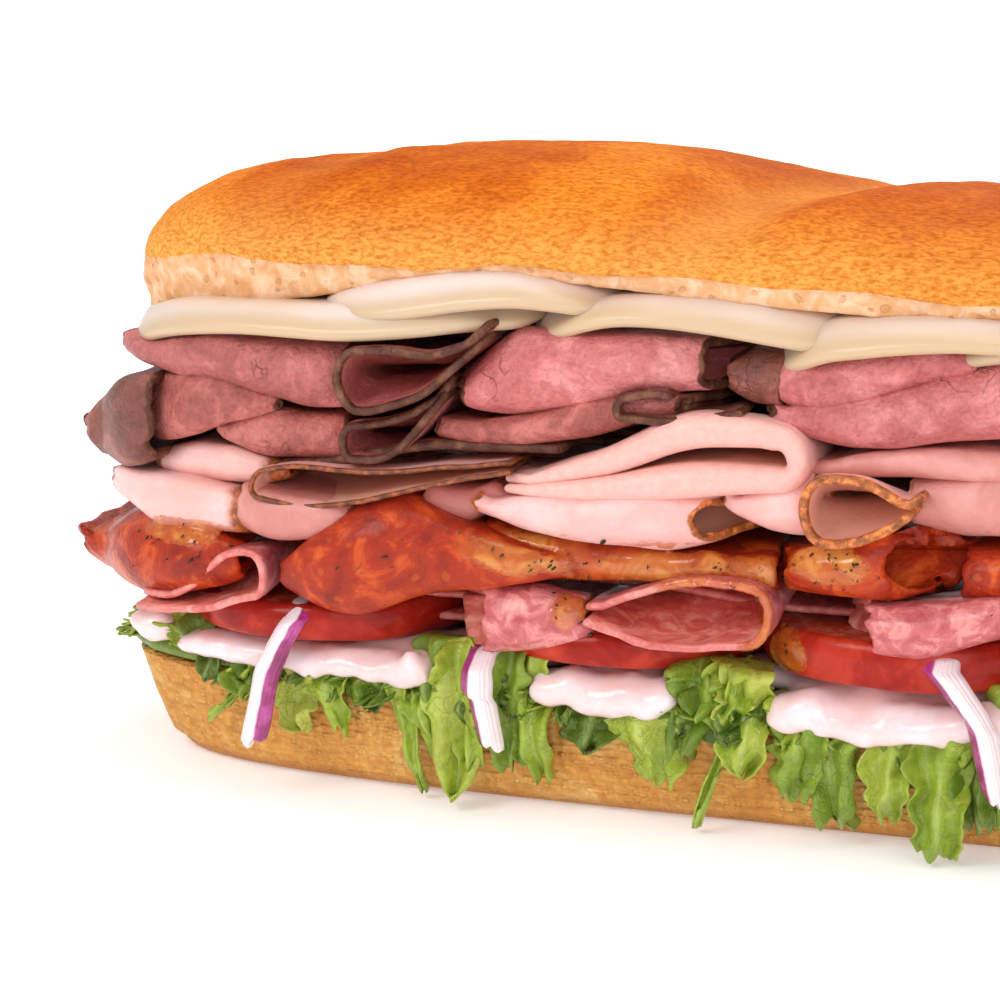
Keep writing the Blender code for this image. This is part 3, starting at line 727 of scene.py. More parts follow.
def fold_path(low, high, front, back, thickness, fullness, tucked):
    """The outer side of a fold at one place along the roll, as (y, z) points."""
    rise, middle = 0.5 * (high - low), 0.5 * (high + low)
    bend = min(fullness * rise, 0.0085)
    way = 1.0 - (1.0 - np.linspace(0.0, 1.0, 9)) ** 1.7
    path = [(back - 0.003 + (front + bend - back + 0.003) * w, low) for w in way]
    for turn in np.linspace(-0.5 * math.pi, 0.5 * math.pi, 18)[1:-1]:
        path.append((front + bend - bend * math.cos(turn) ** 0.9, middle + rise * math.sin(turn)))
    if not tucked:
        return path + [(front + bend + (back - front - bend) * (1.0 - w), high) for w in way[::-1]]
    tail = low + thickness + 0.30 * (high - low - 2.0 * thickness)
    turn_in = 0.5 * (high - tail)
    path += [(front + bend + (back - turn_in - front - bend) * (1.0 - w), high) for w in way[::-1]]
    for turn in np.linspace(0.5 * math.pi, -0.5 * math.pi, 9)[1:]:
        path.append((back - turn_in + turn_in * math.cos(turn), 0.5 * (high + tail) + turn_in * math.sin(turn)))
    inner = front + bend + 0.0035
    for w in np.linspace(0.0, 1.0, 9)[1:]:
        path.append((back - turn_in + (inner - back + turn_in) * w, tail + 0.0006 * math.sin(math.pi * w)))
    return path


THICKNESS = {"salami": 0.0015, "pepperoni": 0.0018, "turkey": 0.0016, "beef": 0.0018}


def fold_slice(name, left=(0.0, 3.0), right=(0.0, -3.0), low=0.0, high=0.0, out=0.0, fullness=1.1, ragged=0.7,
               columns=44, thick=None, ruffle=0.35, closed=0.0, look=None, tag="", at=None,
               tops=None, bottoms=None):
    """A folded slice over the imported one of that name. left and right move its ends along the roll, at the front
    and 25 mm behind it; low, high and out change its heights and how far it stands out along its length (mm).
    closed makes it a roll that deep. at, tops and bottoms give its own ends and heights."""
    kind = name.split("_")[0]
    thickness = thick or THICKNESS[kind]
    places, lows, highs = measured_profile(name, None, at, tops, bottoms)
    start, end = places[0], places[-1]
    share = 0.5 - 0.5 * np.cos(np.linspace(0.0, math.pi, columns))
    share = 0.5 * share + 0.5 * np.linspace(0.0, 1.0, columns)
    x = start + share * (end - start)
    bottom = soft_line(places, lows, x) + millimetres(low, x, start, end)
    top = soft_line(places, highs, x) + millimetres(high, x, start, end)
    top = np.maximum(top, bottom + 2.2 * thickness)
    points = node_points(name)
    reach = -points[:, 1].min() - float(half_depth(0.5 * (start + end)))
    tucked = bool((top - bottom).min() > 3.8 * thickness + 0.0006)
    across = np.abs(2.0 * share - 1.0)
    recess = 0.0035 * (1.0 - np.maximum(0.0, 1.0 - (across / 1.03) ** 2.4) ** (1.0 / 2.4))
    stands = reach + millimetres(out, x, start, end)
    if at is not None:
        x, bottom, top = in_place(x, (bottom, top), stands)
    front = recess - half_depth(x) - stands
    back = half_depth(x) - recess
    if closed:
        grid = [roll_path(bottom[j], top[j], front[j], 0.001 * closed, thickness, fullness) for j in range(columns)]
    else:
        grid = [fold_path(bottom[j], top[j], front[j], back[j], thickness, fullness, tucked) for j in range(columns)]
    grid = np.array(grid)
    rows = grid.shape[1]
    sheet = np.empty((rows, columns, 3))
    sheet[..., 1], sheet[..., 2] = grid[..., 0].T, grid[..., 1].T
    sheet[..., 0] = x
    depth = np.clip((sheet[..., 1] - front) / (0.001 * closed if closed else 0.025), 0.0, 1.3)
    seed = float(sum(ord(c) * (k + 3) for k, c in enumerate(name)) % 97)
    run = np.cumsum(np.linalg.norm(np.diff(grid.mean(0), axis=0, prepend=grid.mean(0)[:1]), axis=1))
    torn = np.stack([run, run * 0.0 + seed, run * 0.0], axis=-1)
    ends = [0.001 * ragged * (lumps(torn, 0.0040, k) + 0.6 * lumps(torn, 0.0014, k + 5)) for k in (1, 2)]
    shift_left = 0.001 * (left[0] + (left[1] - left[0]) * depth) + ends[0][:, None]
    shift_right = 0.001 * (right[0] + (right[1] - right[0]) * depth) + ends[1][:, None]
    sheet[..., 0] += shift_left * (1.0 - share) ** 1.5 + shift_right * share**1.5
    normal = unit(np.cross(np.gradient(sheet, axis=1), np.gradient(sheet, axis=0)))
    sheet += normal * (0.001 * ruffle * lumps(sheet + 0.001 * seed, 0.0065, 8))[..., None]
    sheet = wander(sheet, 0.017, 0.0008, 3)
    return finish_slice(name, mesh_object(name + tag + "_slice", *sheet_parts(sheet, thickness, 4)), look)


def finish_slice(name, piece, look=None):
    piece.data.materials.append(look or LOOKS.get(name) or LOOKS[name.split("_")[0]])
    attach(piece, "root")
    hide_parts(name)
    return piece


# %% A slice rolled over to one side
def loop_slice(name, side, low=0.0, high=0.0, out=0.0, lip=(0.0, 0.0), ragged=0.6, thick=None, open_low=0.0,
               blunt=1.0, columns=22, around=4, ruffle=0.3, reach=0.0, short=0.0, hole=None, look=None, at=None,
               tops=None, bottoms=None, pocket=24.0, tag=""):
    """A loop that opens to the front. side is where its bend is, and lip how far its lower and upper ply stand
    out; open_low lowers the lower ply's free end, and short ends the upper ply early (mm). hole thickens the plies
    until only gaps of those heights are left between them, from the free end to the bend (mm), and the mouth closes
    over the depth pocket."""
    kind = name.split("_")[0]
    thickness = thick or THICKNESS[kind]
    places, lows, highs = measured_profile(name, side, at, tops, bottoms)
    start, end = places[0], places[-1]
    tip, free = (end, start) if side == "right" else (start, end)
    way = 1.0 if side == "right" else -1.0
    tip += 0.001 * reach * way
    share = np.linspace(0.0, 1.0, 22) ** 0.85
    tall = 0.5 * float(np.mean(highs) - np.mean(lows))
    turn_at = tip - way * tall * blunt
    x = free + share * (turn_at - free)
    clipped = np.clip(x, start, end)
    bottom = soft_line(places, lows, clipped) + millimetres(low, clipped, start, end)
    top = soft_line(places, highs, clipped) + millimetres(high, clipped, start, end)
    top = np.maximum(top, bottom + 2.3 * thickness)
    bottom = bottom - 0.001 * open_low * (1.0 - share) ** 2
    rise, middle = 0.5 * (top[-1] - bottom[-1]), 0.5 * (top[-1] + bottom[-1])
    path = [(a, b) for a, b in zip(x, bottom)]
    for turn in np.linspace(-0.5 * math.pi, 0.5 * math.pi, 16)[1:-1]:
        path.append((turn_at + (tip - turn_at) * math.cos(turn), middle + rise * math.sin(turn)))
    over = [(a, b) for a, b in zip(x[::-1], top[::-1])]
    kept = max(3, int(round(len(over) * (1.0 - short))))
    path = np.array(path + over[:kept])
    rows = len(path)
    position = np.linspace(0.0, 1.0, rows)
    points = node_points(name)
    stands = -points[:, 1].min() - float(half_depth(0.5 * (start + end)))
    centre_line = [x, 0.5 * (bottom + top)]
    if at is not None:
        moved = in_place(path[:, 0], (path[:, 1],), stands + millimetres(out, path[:, 0], start, end))
        path = np.stack(moved, axis=1)
        centre_line = in_place(x, (centre_line[1],), stands + millimetres(out, x, start, end))
    order = np.argsort(centre_line[0])
    centre_line = [np.asarray(values)[order] for values in centre_line]
    half = half_depth(path[:, 0])
    run = np.cumsum(np.linalg.norm(np.diff(path, axis=0, prepend=path[:1]), axis=1))
    seed = float(sum(ord(c) * (k + 3) for k, c in enumerate(name)) % 97)
    torn = np.stack([run, run * 0.0 + seed, run * 0.0], axis=-1)
    edge = 0.001 * ragged * (lumps(torn, 0.0045, 1) + 0.5 * lumps(torn, 0.0015, 6))
    front = -half - stands - 0.001 * (lip[0] * (1.0 - position) + lip[1] * position) + edge
    front -= millimetres(out, np.clip(path[:, 0], start, end), start, end)
    deep = np.linspace(0.0, 1.0, columns) ** 1.5
    sheet = np.empty((rows, columns, 3))
    sheet[..., 0], sheet[..., 2] = path[:, :1], path[:, 1:]
    sheet[..., 1] = front[:, None] + deep[None, :] * (half - 0.002 - front)[:, None]
    thickness = thickness * np.ones((rows, 1))
    if hole is not None:
        along = np.clip((path[:, 0] - path[:, 0].min()) / (path[:, 0].max() - path[:, 0].min()), 0.0, 1.0)
        along = along if side == "right" else 1.0 - along
        tall_at = np.interp(along, np.linspace(0.0, 1.0, len(x)), top - bottom)
        gap = 0.001 * soft_line(np.linspace(0.0, 1.0, len(hole)), hole, along, 0.06)
        thickness = np.maximum(0.0008, 0.5 * (tall_at - gap))[:, None]
    # the two plies meet behind the mouth
    middle_line = np.interp(path[:, 0], *centre_line)
    shut = soften(np.clip((sheet[..., 1] - front[:, None] - 0.002) / (0.001 * pocket), 0.0, 1.0))
    off = sheet[..., 2] - middle_line[:, None]
    flat = np.minimum(1.0, 0.0019 / np.maximum(1e-6, np.abs(off).max()))
    sheet[..., 2] = middle_line[:, None] + off * (1.0 - (1.0 - flat) * shut)
    thickness = np.minimum(thickness, thickness * (1.0 - shut) + 0.0011 * shut)
    if side == "left":
        sheet, thickness = sheet[:, ::-1], thickness[:, ::-1]
    normal = unit(np.cross(np.gradient(sheet, axis=1), np.gradient(sheet, axis=0)))
    sheet += normal * (0.001 * ruffle * lumps(sheet + 0.001 * seed, 0.0065, 8))[..., None]
    sheet = wander(sheet, 0.017, 0.0008, 3)
    return finish_slice(name, mesh_object(name + tag + "_slice", *sheet_parts(sheet, thickness, around)), look)


def leaf_slice(name, at, tops, low=0.0, out=0.0, ragged=0.8, look=None):
    """A slice that lies flat, with its cut edge along the front."""
    places, _, highs = measured_profile(name, None, at, tops, tops)
    thickness = THICKNESS[name.split("_")[0]]
    columns, rows = 60, 20
    x = np.linspace(places[0], places[-1], columns)
    top = soft_line(places, highs, x) + millimetres(low, x, places[0], places[-1])
    run = np.stack([x, 0.0 * x, 0.0 * x], -1)
    front = -half_depth(x) + 0.002 - millimetres(out, x, places[0], places[-1]) + 0.001 * ragged * lumps(run, 0.004, 4)
    deep = np.linspace(0.0, 1.0, rows)[:, None] ** 1.4
    sheet = np.empty((rows, columns, 3))
    sheet[..., 0] = x
    sheet[..., 1] = front + deep * (0.030 - front)
    sheet[..., 2] = top
    sheet = wander(sheet, 0.017, 0.0008, 3)
    return finish_slice(name, mesh_object(name + "_slice", *sheet_parts(sheet, thickness, 4)), look)


LOOKS = {
    "beef": BEEF_LOOK,
    "beef_2": BEEF_DEEP,
    "beef_3": BEEF_DEEP,
    "beef_4": BEEF_DEEP,
    "beef_6": BEEF_DEEP,
    "beef_5": BEEF_PINK,
    "beef_9": BEEF_PINK,
    "beef_10": BEEF_PINK,
    "turkey": TURKEY_LOOK,
    "salami": SALAMI_LOOK,
    "pepperoni": PEPPERONI_LOOK,
    "cheese": CHEESE_LOOK,
    "turkey_4": TURKEY_GOLD,
    "turkey_5": TURKEY_GOLD,
    "turkey_2": TURKEY_PALE,
    "turkey_3": TURKEY_PALE,
    "turkey_6": TURKEY_PALE,
    "turkey_8": TURKEY_PALE,
    "turkey_10": TURKEY_PALE,
    "turkey_11": TURKEY_PALE,
}

# %% The plies inside
def inner_sheet(kind, node, number, height):
    """A wavy slice that lies flat in the middle, behind the folds at the front."""
    rows, columns = 14, 40
    x = np.linspace(-0.124, 0.124, columns)
    end = np.stack([0.0 * x, x, 0.0 * x + number], -1)
    half = (0.70 if height < 52.0 else 0.56) * half_depth(x) * superellipse(x / 0.1265, 5.0) + 0.0022 * lumps(end, 0.016, 2)
    sheet = np.empty((rows, columns, 3))
    sheet[..., 0] = x
    sheet[..., 1] = np.linspace(-1.0, 1.0, rows)[:, None] * np.maximum(half, 0.004)
    sheet[..., 2] = 0.001 * height
    sheet[..., 2] += 0.0026 * lumps(sheet * np.array([1.0, 1.0, 0.0]) + 0.01 * number, 0.024, number)
    return finish_slice(node, mesh_object(f"{kind}_inner_{number}_slice", *sheet_parts(sheet, THICKNESS[kind], 3)))


INNER = {
    "salami": ("salami_6", (36.0, 39.5, 43.0)),
    "pepperoni": ("pepperoni_6", (46.5, 50.5)),
    "turkey": ("turkey_12", (55.0, 59.0, 63.0)),
    "beef": ("beef_6", (68.0, 72.0, 76.5, 80.5, 84.5, 88.0)),
}
for kind, (node, heights) in INNER.items():
    for number, height in enumerate(heights):
        inner_sheet(kind, node, number, height)
print("plies inside:", sum(len(heights) for _, heights in INNER.values()))

# %% Salami and pepperoni
loop_slice("salami_1", "right", at=(-126.0, -100.5), tops=(38.0, 39.0, 42.0, 47.5, 49.2, 48.0),
           bottoms=(36.0, 35.6, 35.5, 36.4, 38.0, 39.5), lip=(2.5, 0.0), blunt=0.8, out=1.0)
fold_slice("salami_2", left=(6.0, -1.0), right=(0.0, -4.0), closed=14.0, at=(-65.7, -40.0),
           tops=(44.6, 44.4, 44.2, 42.5), bottoms=(30.4, 31.2, 32.2, 33.4), ragged=1.3, out=(3.0, 2.5, 2.0))
loop_slice("salami_3", "right", at=(-38.6, -5.0), tops=(42.0, 45.6, 48.6, 50.0, 49.8, 48.0),
           bottoms=(39.4, 37.0, 35.9, 36.0, 37.6, 39.0), lip=(2.5, 0.0), blunt=0.85, out=1.5)
fold_slice("salami_4", left=(2.0, -4.0), closed=17.0, at=(9.5, 42.0), tops=(45.0, 46.5, 48.6, 50.0),
           bottoms=(35.3, 36.4, 40.4, 43.6), ragged=1.7, out=(3.0, 2.0, 1.0))
loop_slice("salami_5", "left")
fold_slice("salami_6")
fold_slice("pepperoni_1", left=(0.0, -2.0), right=(0.0, -4.0), ragged=1.5, at=(-139.6, -108.0),
           tops=(47.8, 52.2, 52.6, 51.2, 48.6), bottoms=(45.6, 38.0, 36.2, 38.0, 41.0), out=(-1.0, 1.5, 2.0, 0.0))
fold_slice("pepperoni_2", left=(-1.0, 5.0), right=(3.0, -4.0), at=(-98.4, -45.5),
           tops=(46.5, 55.8, 58.4, 55.4, 52.4, 50.6), bottoms=(39.4, 34.0, 39.0, 42.6, 44.8, 46.4),
           out=(3.0, 4.5, 3.0, 1.0, 0.0), fullness=0.85, ragged=0.9)
fold_slice("pepperoni_3", at=(-60.0, -6.0), tops=(55.8, 54.6, 53.6, 53.8), bottoms=(45.0, 46.0, 48.0, 47.0), out=0.8)
fold_slice("pepperoni_4", left=(0.0, -2.0), right=(-14.5, 1.0), closed=14.0, at=(-3.5, 27.5),
           tops=(54.6, 56.4, 57.6, 58.6, 58.0), bottoms=(47.6, 46.2, 45.8, 45.8, 48.0), out=(1.0, 3.0, 3.0))
fold_slice("pepperoni_5", left=(0.0, 2.0))
fold_slice("pepperoni_6")

# %% Turkey
fold_slice("turkey_1", left=(-0.5, 3.0), ragged=0.9, at=(-133.4, -105.0), tops=(62.0, 61.4, 60.4, 58.8),
           bottoms=(57.5, 50.6, 50.8, 50.4), out=(1.5, 1.0, 0.0), look=TURKEY_BARK, fullness=0.7)
fold_slice("turkey_2", right=(0.0, 6.0), at=(-107.5, -86.0), tops=(60.2, 58.6, 57.6, 56.6),
           bottoms=(52.0, 49.8, 50.4, 51.0), out=1.0, fullness=0.7)
fold_slice("turkey_3")
fold_slice("turkey_4", right=(-14.5, 1.0), at=(-61.5, -5.5), tops=(60.2, 61.6, 62.2, 63.8, 65.0, 62.5),
           bottoms=(57.6, 55.2, 53.2, 52.6, 52.8, 55.0), out=(1.5, 3.0, 3.0), closed=22.0)
fold_slice("turkey_5", left=(0.0, 6.0), right=(0.0, 0.0), closed=15.0, at=(-15.0, 0.9), tops=(63.4, 66.4, 69.2),
           bottoms=(61.8, 58.2, 57.0), out=(0.0, 1.5), columns=24)
loop_slice("turkey_5", "left", tag="_ring", at=(-0.4, 19.5), tops=(67.6, 69.9, 69.6, 68.0, 65.4),
           bottoms=(57.6, 56.2, 56.8, 59.2, 63.2), thick=0.0017, lip=(2.0, 2.0), blunt=0.9, pocket=16.0,
           out=(1.5, 1.5, 1.0), look=TURKEY_GOLD)
fold_slice("turkey_6", at=(18.0, 72.0), tops=(69.2, 70.6, 71.4, 70.0, 66.0), bottoms=(60.0, 59.4, 59.4, 58.6, 57.0))
loop_slice("turkey_7", "left")
fold_slice("turkey_8", at=(-125.0, -97.5), tops=(65.8, 67.8, 66.8, 64.2), bottoms=(61.8, 60.4, 60.4, 61.0),
           look=TURKEY_BARK)
loop_slice("turkey_9", "left", lip=(2.0, 0.5), thick=0.0009, at=(-104.0, -54.0), pocket=30.0,
           tops=(63.4, 65.2, 64.0, 64.6, 67.2, 68.4), bottoms=(58.8, 56.4, 57.6, 60.0, 63.4, 66.2))
loop_slice("turkey_10", "right", around=8, at=(-54.0, 1.4), tops=(65.0, 69.2, 73.6, 78.8, 78.0, 75.5),
           bottoms=(62.6, 61.6, 62.5, 63.8, 65.0, 66.0), hole=(0.6, 0.4, 0.4, 0.5, 1.8, 3.0, 3.2), lip=(1.5, 0.5),
           blunt=1.15, ragged=0.2, look=TURKEY_PLAIN)
fold_slice("turkey_11", at=(-1.0, 41.0), tops=(69.6, 73.6, 74.4, 74.2, 74.0), bottoms=(67.2, 69.0, 69.4, 69.0, 68.4))
fold_slice("turkey_12")
fold_slice("turkey_13")

# %% Roast beef
leaf_slice("beef_1", (-101.0, -46.0), (64.2, 65.2, 67.6, 70.4, 71.2, 71.2), out=1.0)
fold_slice("beef_2", right=(0.0, 0.4), at=(-112.0, -86.2), tops=(71.0, 73.2, 74.2, 74.2, 73.6),
           bottoms=(68.4, 66.0, 65.0, 64.8, 64.6), out=(0.0, 1.0, 1.5))
fold_slice("beef_3", left=(-0.5, 1.5), right=(0.0, -6.0), at=(-128.0, -99.5), tops=(79.8, 80.6, 80.4, 78.6, 75.6),
           bottoms=(66.8, 67.6, 69.2, 71.6, 74.0), out=(0.5, 1.5, 1.5, 0.0), fullness=0.6)
fold_slice("beef_3", left=(0.0, 2.0), right=(0.0, 0.0), at=(-139.8, -126.0), tag="_leaf", look=BEEF_DARK,
           tops=(70.4, 78.8, 79.8), bottoms=(67.2, 61.0, 63.4), out=(-1.0, 0.0), columns=26, ragged=1.3,
           fullness=0.6)
fold_slice("beef_4", right=(-12.0, 0.0), at=(-69.0, -12.0), tops=(72.8, 75.4, 77.4, 81.4, 81.0, 79.4),
           bottoms=(70.6, 70.8, 71.4, 73.0, 76.0, 77.0), out=(0.0, 0.5, 1.0))
fold_slice("beef_5", left=(0.0, -3.0), at=(-6.7, 48.4), tops=(78.0, 82.6, 85.0, 88.4, 91.4, 90.0),
           bottoms=(75.8, 73.6, 73.8, 75.0, 76.0, 77.0), out=(0.0, 1.5, 2.0))
fold_slice("beef_6")
fold_slice("beef_7")
fold_slice("beef_8", left=(-1.0, 3.0), right=(0.0, 0.4), at=(-129.6, -86.2), tops=(85.0, 87.6, 87.4, 87.2, 87.0),
           bottoms=(83.6, 79.8, 76.8, 74.8, 74.4), out=(0.5, 1.0, 2.0, 2.0))
fold_slice("beef_9", left=(2.0, -4.0), right=(-3.0, 3.0), at=(-65.0, -17.0),
           tops=(80.5, 91.0, 91.6, 91.8, 91.8, 91.4), bottoms=(77.6, 75.2, 76.8, 79.0, 80.4, 81.2),
           out=(0.5, 2.0, 2.5, 1.5), closed=18.0)
fold_slice("beef_10", left=(9.5, 0.0), at=(-16.5, 27.5), tops=(87.6, 90.2, 92.2, 92.6, 91.0),
           bottoms=(81.0, 78.0, 81.2, 84.4, 86.0), out=(0.0, 1.0, 1.0))
loop_slice("beef_8", "left", tag="_mouth", at=(-87.0, -57.5), tops=(86.2, 87.2, 87.0, 86.2, 88.2, 91.4),
           bottoms=(74.6, 74.3, 75.8, 78.6, 84.2, 89.2), lip=(0.5, 1.5), blunt=0.95, pocket=17.0, out=(2.5, 2.0, 0.5),
           look=BEEF_EDGE, thick=0.0015)
loop_slice("beef_2", "left", tag="_mouth", at=(-87.0, -65.3), tops=(72.4, 73.2, 73.4, 74.8, 77.6, 80.6),
           bottoms=(66.0, 65.2, 65.7, 68.0, 72.6, 79.0), lip=(1.0, 0.0), blunt=1.0, pocket=15.0, out=(2.0, 1.5, 0.0),
           look=BEEF_EDGE, thick=0.0015)
fold_slice("beef_10", left=(3.0, -2.0), right=(0.0, 4.0), tag="_fold", at=(-18.0, -5.0), tops=(86.4, 89.4, 89.8),
           bottoms=(82.4, 79.4, 78.6), out=0.5, look=BEEF_DARK, columns=20)
fold_slice("beef_11")
fold_slice("beef_12")


# a strip of its brown edge curls back over one slice
loop_slice("beef_4", "left", tag="_curl", at=(-35.0, -12.0), tops=(80.6, 82.2, 80.6, 79.0), look=BEEF_DARK,
           bottoms=(76.4, 75.2, 76.0, 77.2), short=0.55, thick=0.0015, blunt=0.9, out=(2.5, 2.0, 1.0), pocket=12.0)


# %% [markdown]
# ## Cheese
# Cheese slices are soft and heavy for their thickness. They bend over what is under them, and their front edge
# droops, so a thin slice shows a tall satin edge. Each is one sheet whose corners are cut round.

# %% Cheese slices
def cheese_slice(name, at=None, tops=None, front=0.0, droop=4.0, round_off=2.8):
    places, _, highs = measured_profile(name, None, at, tops, tops)
    columns, rows = 56, 40
    share = 0.5 - 0.5 * np.cos(np.linspace(0.0, math.pi, columns))
    share = 0.45 * share + 0.55 * np.linspace(0.0, 1.0, columns)
    x = places[0] + share * (places[-1] - places[0])
    top = soft_line(places, highs, x, 0.10)
    across = np.abs(2.0 * share - 1.0)
    reach = 0.62 + 0.38 * np.maximum(0.0, 1.0 - across**round_off) ** (1.0 / round_off)
    half = (half_depth(x) + 0.0022) * reach
    front_line = half + 0.001 * front
    deep = np.linspace(0.0, 1.0, rows)
    deep = 0.5 * deep + 0.5 * (0.5 - 0.5 * np.cos(math.pi * deep))
    sheet = np.empty((rows, columns, 3))
    sheet[..., 0] = x[None, :]
    sheet[..., 1] = -front_line[None, :] + deep[:, None] * (half + front_line)[None, :]
    from_front = sheet[..., 1] + front_line[None, :]
    from_back = half[None, :] - sheet[..., 1]
    hang = np.clip(1.0 - from_front / 0.0075, 0.0, 1.0) ** 1.8 + np.clip(1.0 - from_back / 0.009, 0.0, 1.0) ** 1.8
    wave = 1.0 + 0.25 * np.sin(x / 0.011 + len(name))[None, :]
    sheet[..., 2] = top[None, :] - 0.001 * droop * hang * wave
    sheet = wander(sheet, 0.024, 0.0006, 3)
    return finish_slice(name, mesh_object(name + "_slice", *sheet_parts(sheet, 0.0026, 6)))


CHEESE_SLICES = {
    "cheese_1": ((89.0, 139.0), (92.8, 94.8, 94.2, 92.4, 89.2)),
    "cheese_2": ((54.7, 118.0), (92.4, 95.0, 96.9, 96.9, 95.2)),
    "cheese_3": ((17.0, 85.2), (91.6, 94.6, 96.7, 96.9, 96.1, 94.4)),
    "cheese_4": ((-9.0, 46.3), (90.8, 95.6, 96.7, 96.8, 96.0, 94.6)),
    "cheese_5": ((-54.0, 9.0), (92.2, 96.2, 98.4, 98.7, 98.5, 97.9, 96.7, 95.2)),
    "cheese_6": ((-137.0, -50.0), (88.4, 92.4, 93.2, 93.6, 94.5, 96.2, 97.6, 96.8)),
    "cheese_7": ((-95.0, -34.0), (95.0, 97.6, 99.7, 101.4, 101.9, 100.3, 97.8)),
}
for name, (ends, tops) in CHEESE_SLICES.items():
    cheese_slice(name, ends, tops, front=1.0 if name in ("cheese_4", "cheese_6") else 0.0)

# %% [markdown]
# ## Bread
# The upper half is a baked dome: brown where the oven reached it, pale and open where it was cut. The two halves
# are drawn from the same rules as their solids, on a much finer grid, with the skin's unevenness added.

# %% The crust's finish
def make_crust():
    made, tree, shader, place = new_material("crust", 0.70, Specular_IOR_Level=0.04)
    tone = use_group(tree, MOTTLE, Vector=place, Scale=34.0, Stretch=0.4, Dark=(0.56, 0.105, 0.006),
                     Middle=(0.76, 0.195, 0.012), Light=(0.88, 0.300, 0.030))
    height = add_node(tree, "SeparateXYZ", Vector=place).outputs["Z"]
    low = add_node(tree, "MapRange", {"interpolation_type": "SMOOTHSTEP"}, Value=height, From_Min=0.099,
                   From_Max=0.116, To_Min=1.0, To_Max=0.0).outputs[0]
    colour = blend_colour(tree, math_node(tree, "MULTIPLY", low, 0.85), tone["Colour"], (0.96, 0.47, 0.110))
    streaks = add_node(tree, "Mapping", Vector=place)
    streaks.inputs["Scale"].default_value = (0.45, 1.0, 1.0)
    fine = use_group(tree, MOTTLE, Vector=streaks.outputs[0], Scale=1500.0, Stretch=0.3, Dark=(0.62, 0.42, 0.24),
                     Middle=(0.96, 0.92, 0.86), Light=(1.0, 1.0, 1.0))
    colour = blend_colour(tree, 0.95, colour, fine["Colour"], "MULTIPLY")
    slashed = attribute(tree, "slash")
    colour = blend_colour(tree, math_node(tree, "MULTIPLY", slashed, 0.35), colour, (0.90, 0.40, 0.10))
    along = add_node(tree, "SeparateXYZ", Vector=place).outputs["X"]
    baked = add_node(tree, "MapRange", {"interpolation_type": "SMOOTHSTEP"}, Value=along, From_Min=-0.030,
                     From_Max=0.030, To_Min=0.0, To_Max=0.6).outputs[0]
    colour = blend_colour(tree, baked, colour, (0.90, 0.72, 0.52), "MULTIPLY")
    crumb = use_group(tree, MOTTLE, Vector=place, Scale=240.0, Stretch=0.6, Dark=(0.72, 0.36, 0.15),
                      Middle=(0.83, 0.50, 0.29), Light=(0.90, 0.62, 0.42))
    holes = use_group(tree, FLECKS, Vector=place, Scale=390.0, Size=0.34, Amount=0.42)
    inner = blend_colour(tree, math_node(tree, "MULTIPLY", holes["Mask"], 0.5), crumb["Colour"], (0.60, 0.26, 0.09))
    border = attribute(tree, "crumb")
    noise = add_node(tree, "TexNoise", Vector=place, Scale=420.0, Detail=3.0)
    ragged = math_node(tree, "SUBTRACT", noise.outputs["Fac"], 0.5)
    ragged = math_node(tree, "MULTIPLY", ragged, 1.1)
    mask = math_node(tree, "ADD", border, ragged)
    mask = add_node(tree, "MapRange", {"interpolation_type": "SMOOTHSTEP"}, Value=mask, From_Min=0.38,
                    From_Max=0.62).outputs[0]
    tree.links.new(blend_colour(tree, mask, colour, inner), shader.inputs["Base Color"])
    rough = add_node(tree, "MapRange", Value=mask, To_Min=0.62, To_Max=0.88).outputs[0]
    tree.links.new(rough, shader.inputs["Roughness"])
    skin = use_group(tree, RELIEF, Vector=streaks.outputs[0], Fine=1500.0, Coarse=500.0, Share=0.5)
    pores = math_node(tree, "SUBTRACT", skin["Height"], math_node(tree, "MULTIPLY", holes["Mask"], mask))
    add_bump(tree, shader, pores, 0.0007, 0.55)
    return made


CRUST_LOOK = make_crust()

# %% The upper half
ROLL_HALF_LENGTH, CROWN_HALF_WIDTH, CROWN_TOP = 0.1425, 0.0420, 0.1216


def power_of(value, power):
    return np.sign(value) * np.abs(value) ** power


# the height of its cut at even steps along the roll, where it rests on the cheese, in millimetres
CUT_HEIGHTS = (88.0, 91.2, 92.3, 95.3, 98.9, 101.0, 99.1, 97.8, 97.0, 95.8, 96.2, 95.8, 95.9, 96.2, 96.0, 94.4, 92.0,
               88.5)
# and the height where the crumb ends and the crust begins
CRUMB_HEIGHTS = (99.0, 101.0, 101.6, 100.7, 100.8, 102.2, 101.8, 101.4, 100.9, 100.0, 99.1, 98.6, 99.2, 99.8, 100.2,
                 100.4, 100.2, 98.5)


def cut_line(heights=CUT_HEIGHTS):
    return np.linspace(-0.1400, 0.1400, len(heights)), 0.001 * np.array(heights)


def ridge(x):
    fall = 0.0039 * (1.0 + np.tanh((x + 0.022) / 0.020))
    return CROWN_TOP - fall + 0.0010 * np.sin((x + 0.06) / 0.035)


def slash_depth(x, y):
    depth = 0.0 * x
    for middle, deep in ((-0.095, 0.32), (-0.001, 0.85), (0.093, 0.8)):
        away = (x - middle - 0.55 * y + 0.0016 * lumps(np.stack([y, x, 0.0 * x], -1), 0.010, 4)) / 0.0085
        depth = depth + deep * (0.0034 * np.exp(-away * away) - 0.0008 * np.exp(-((away - 1.7) ** 2) * 2.0))
    return depth


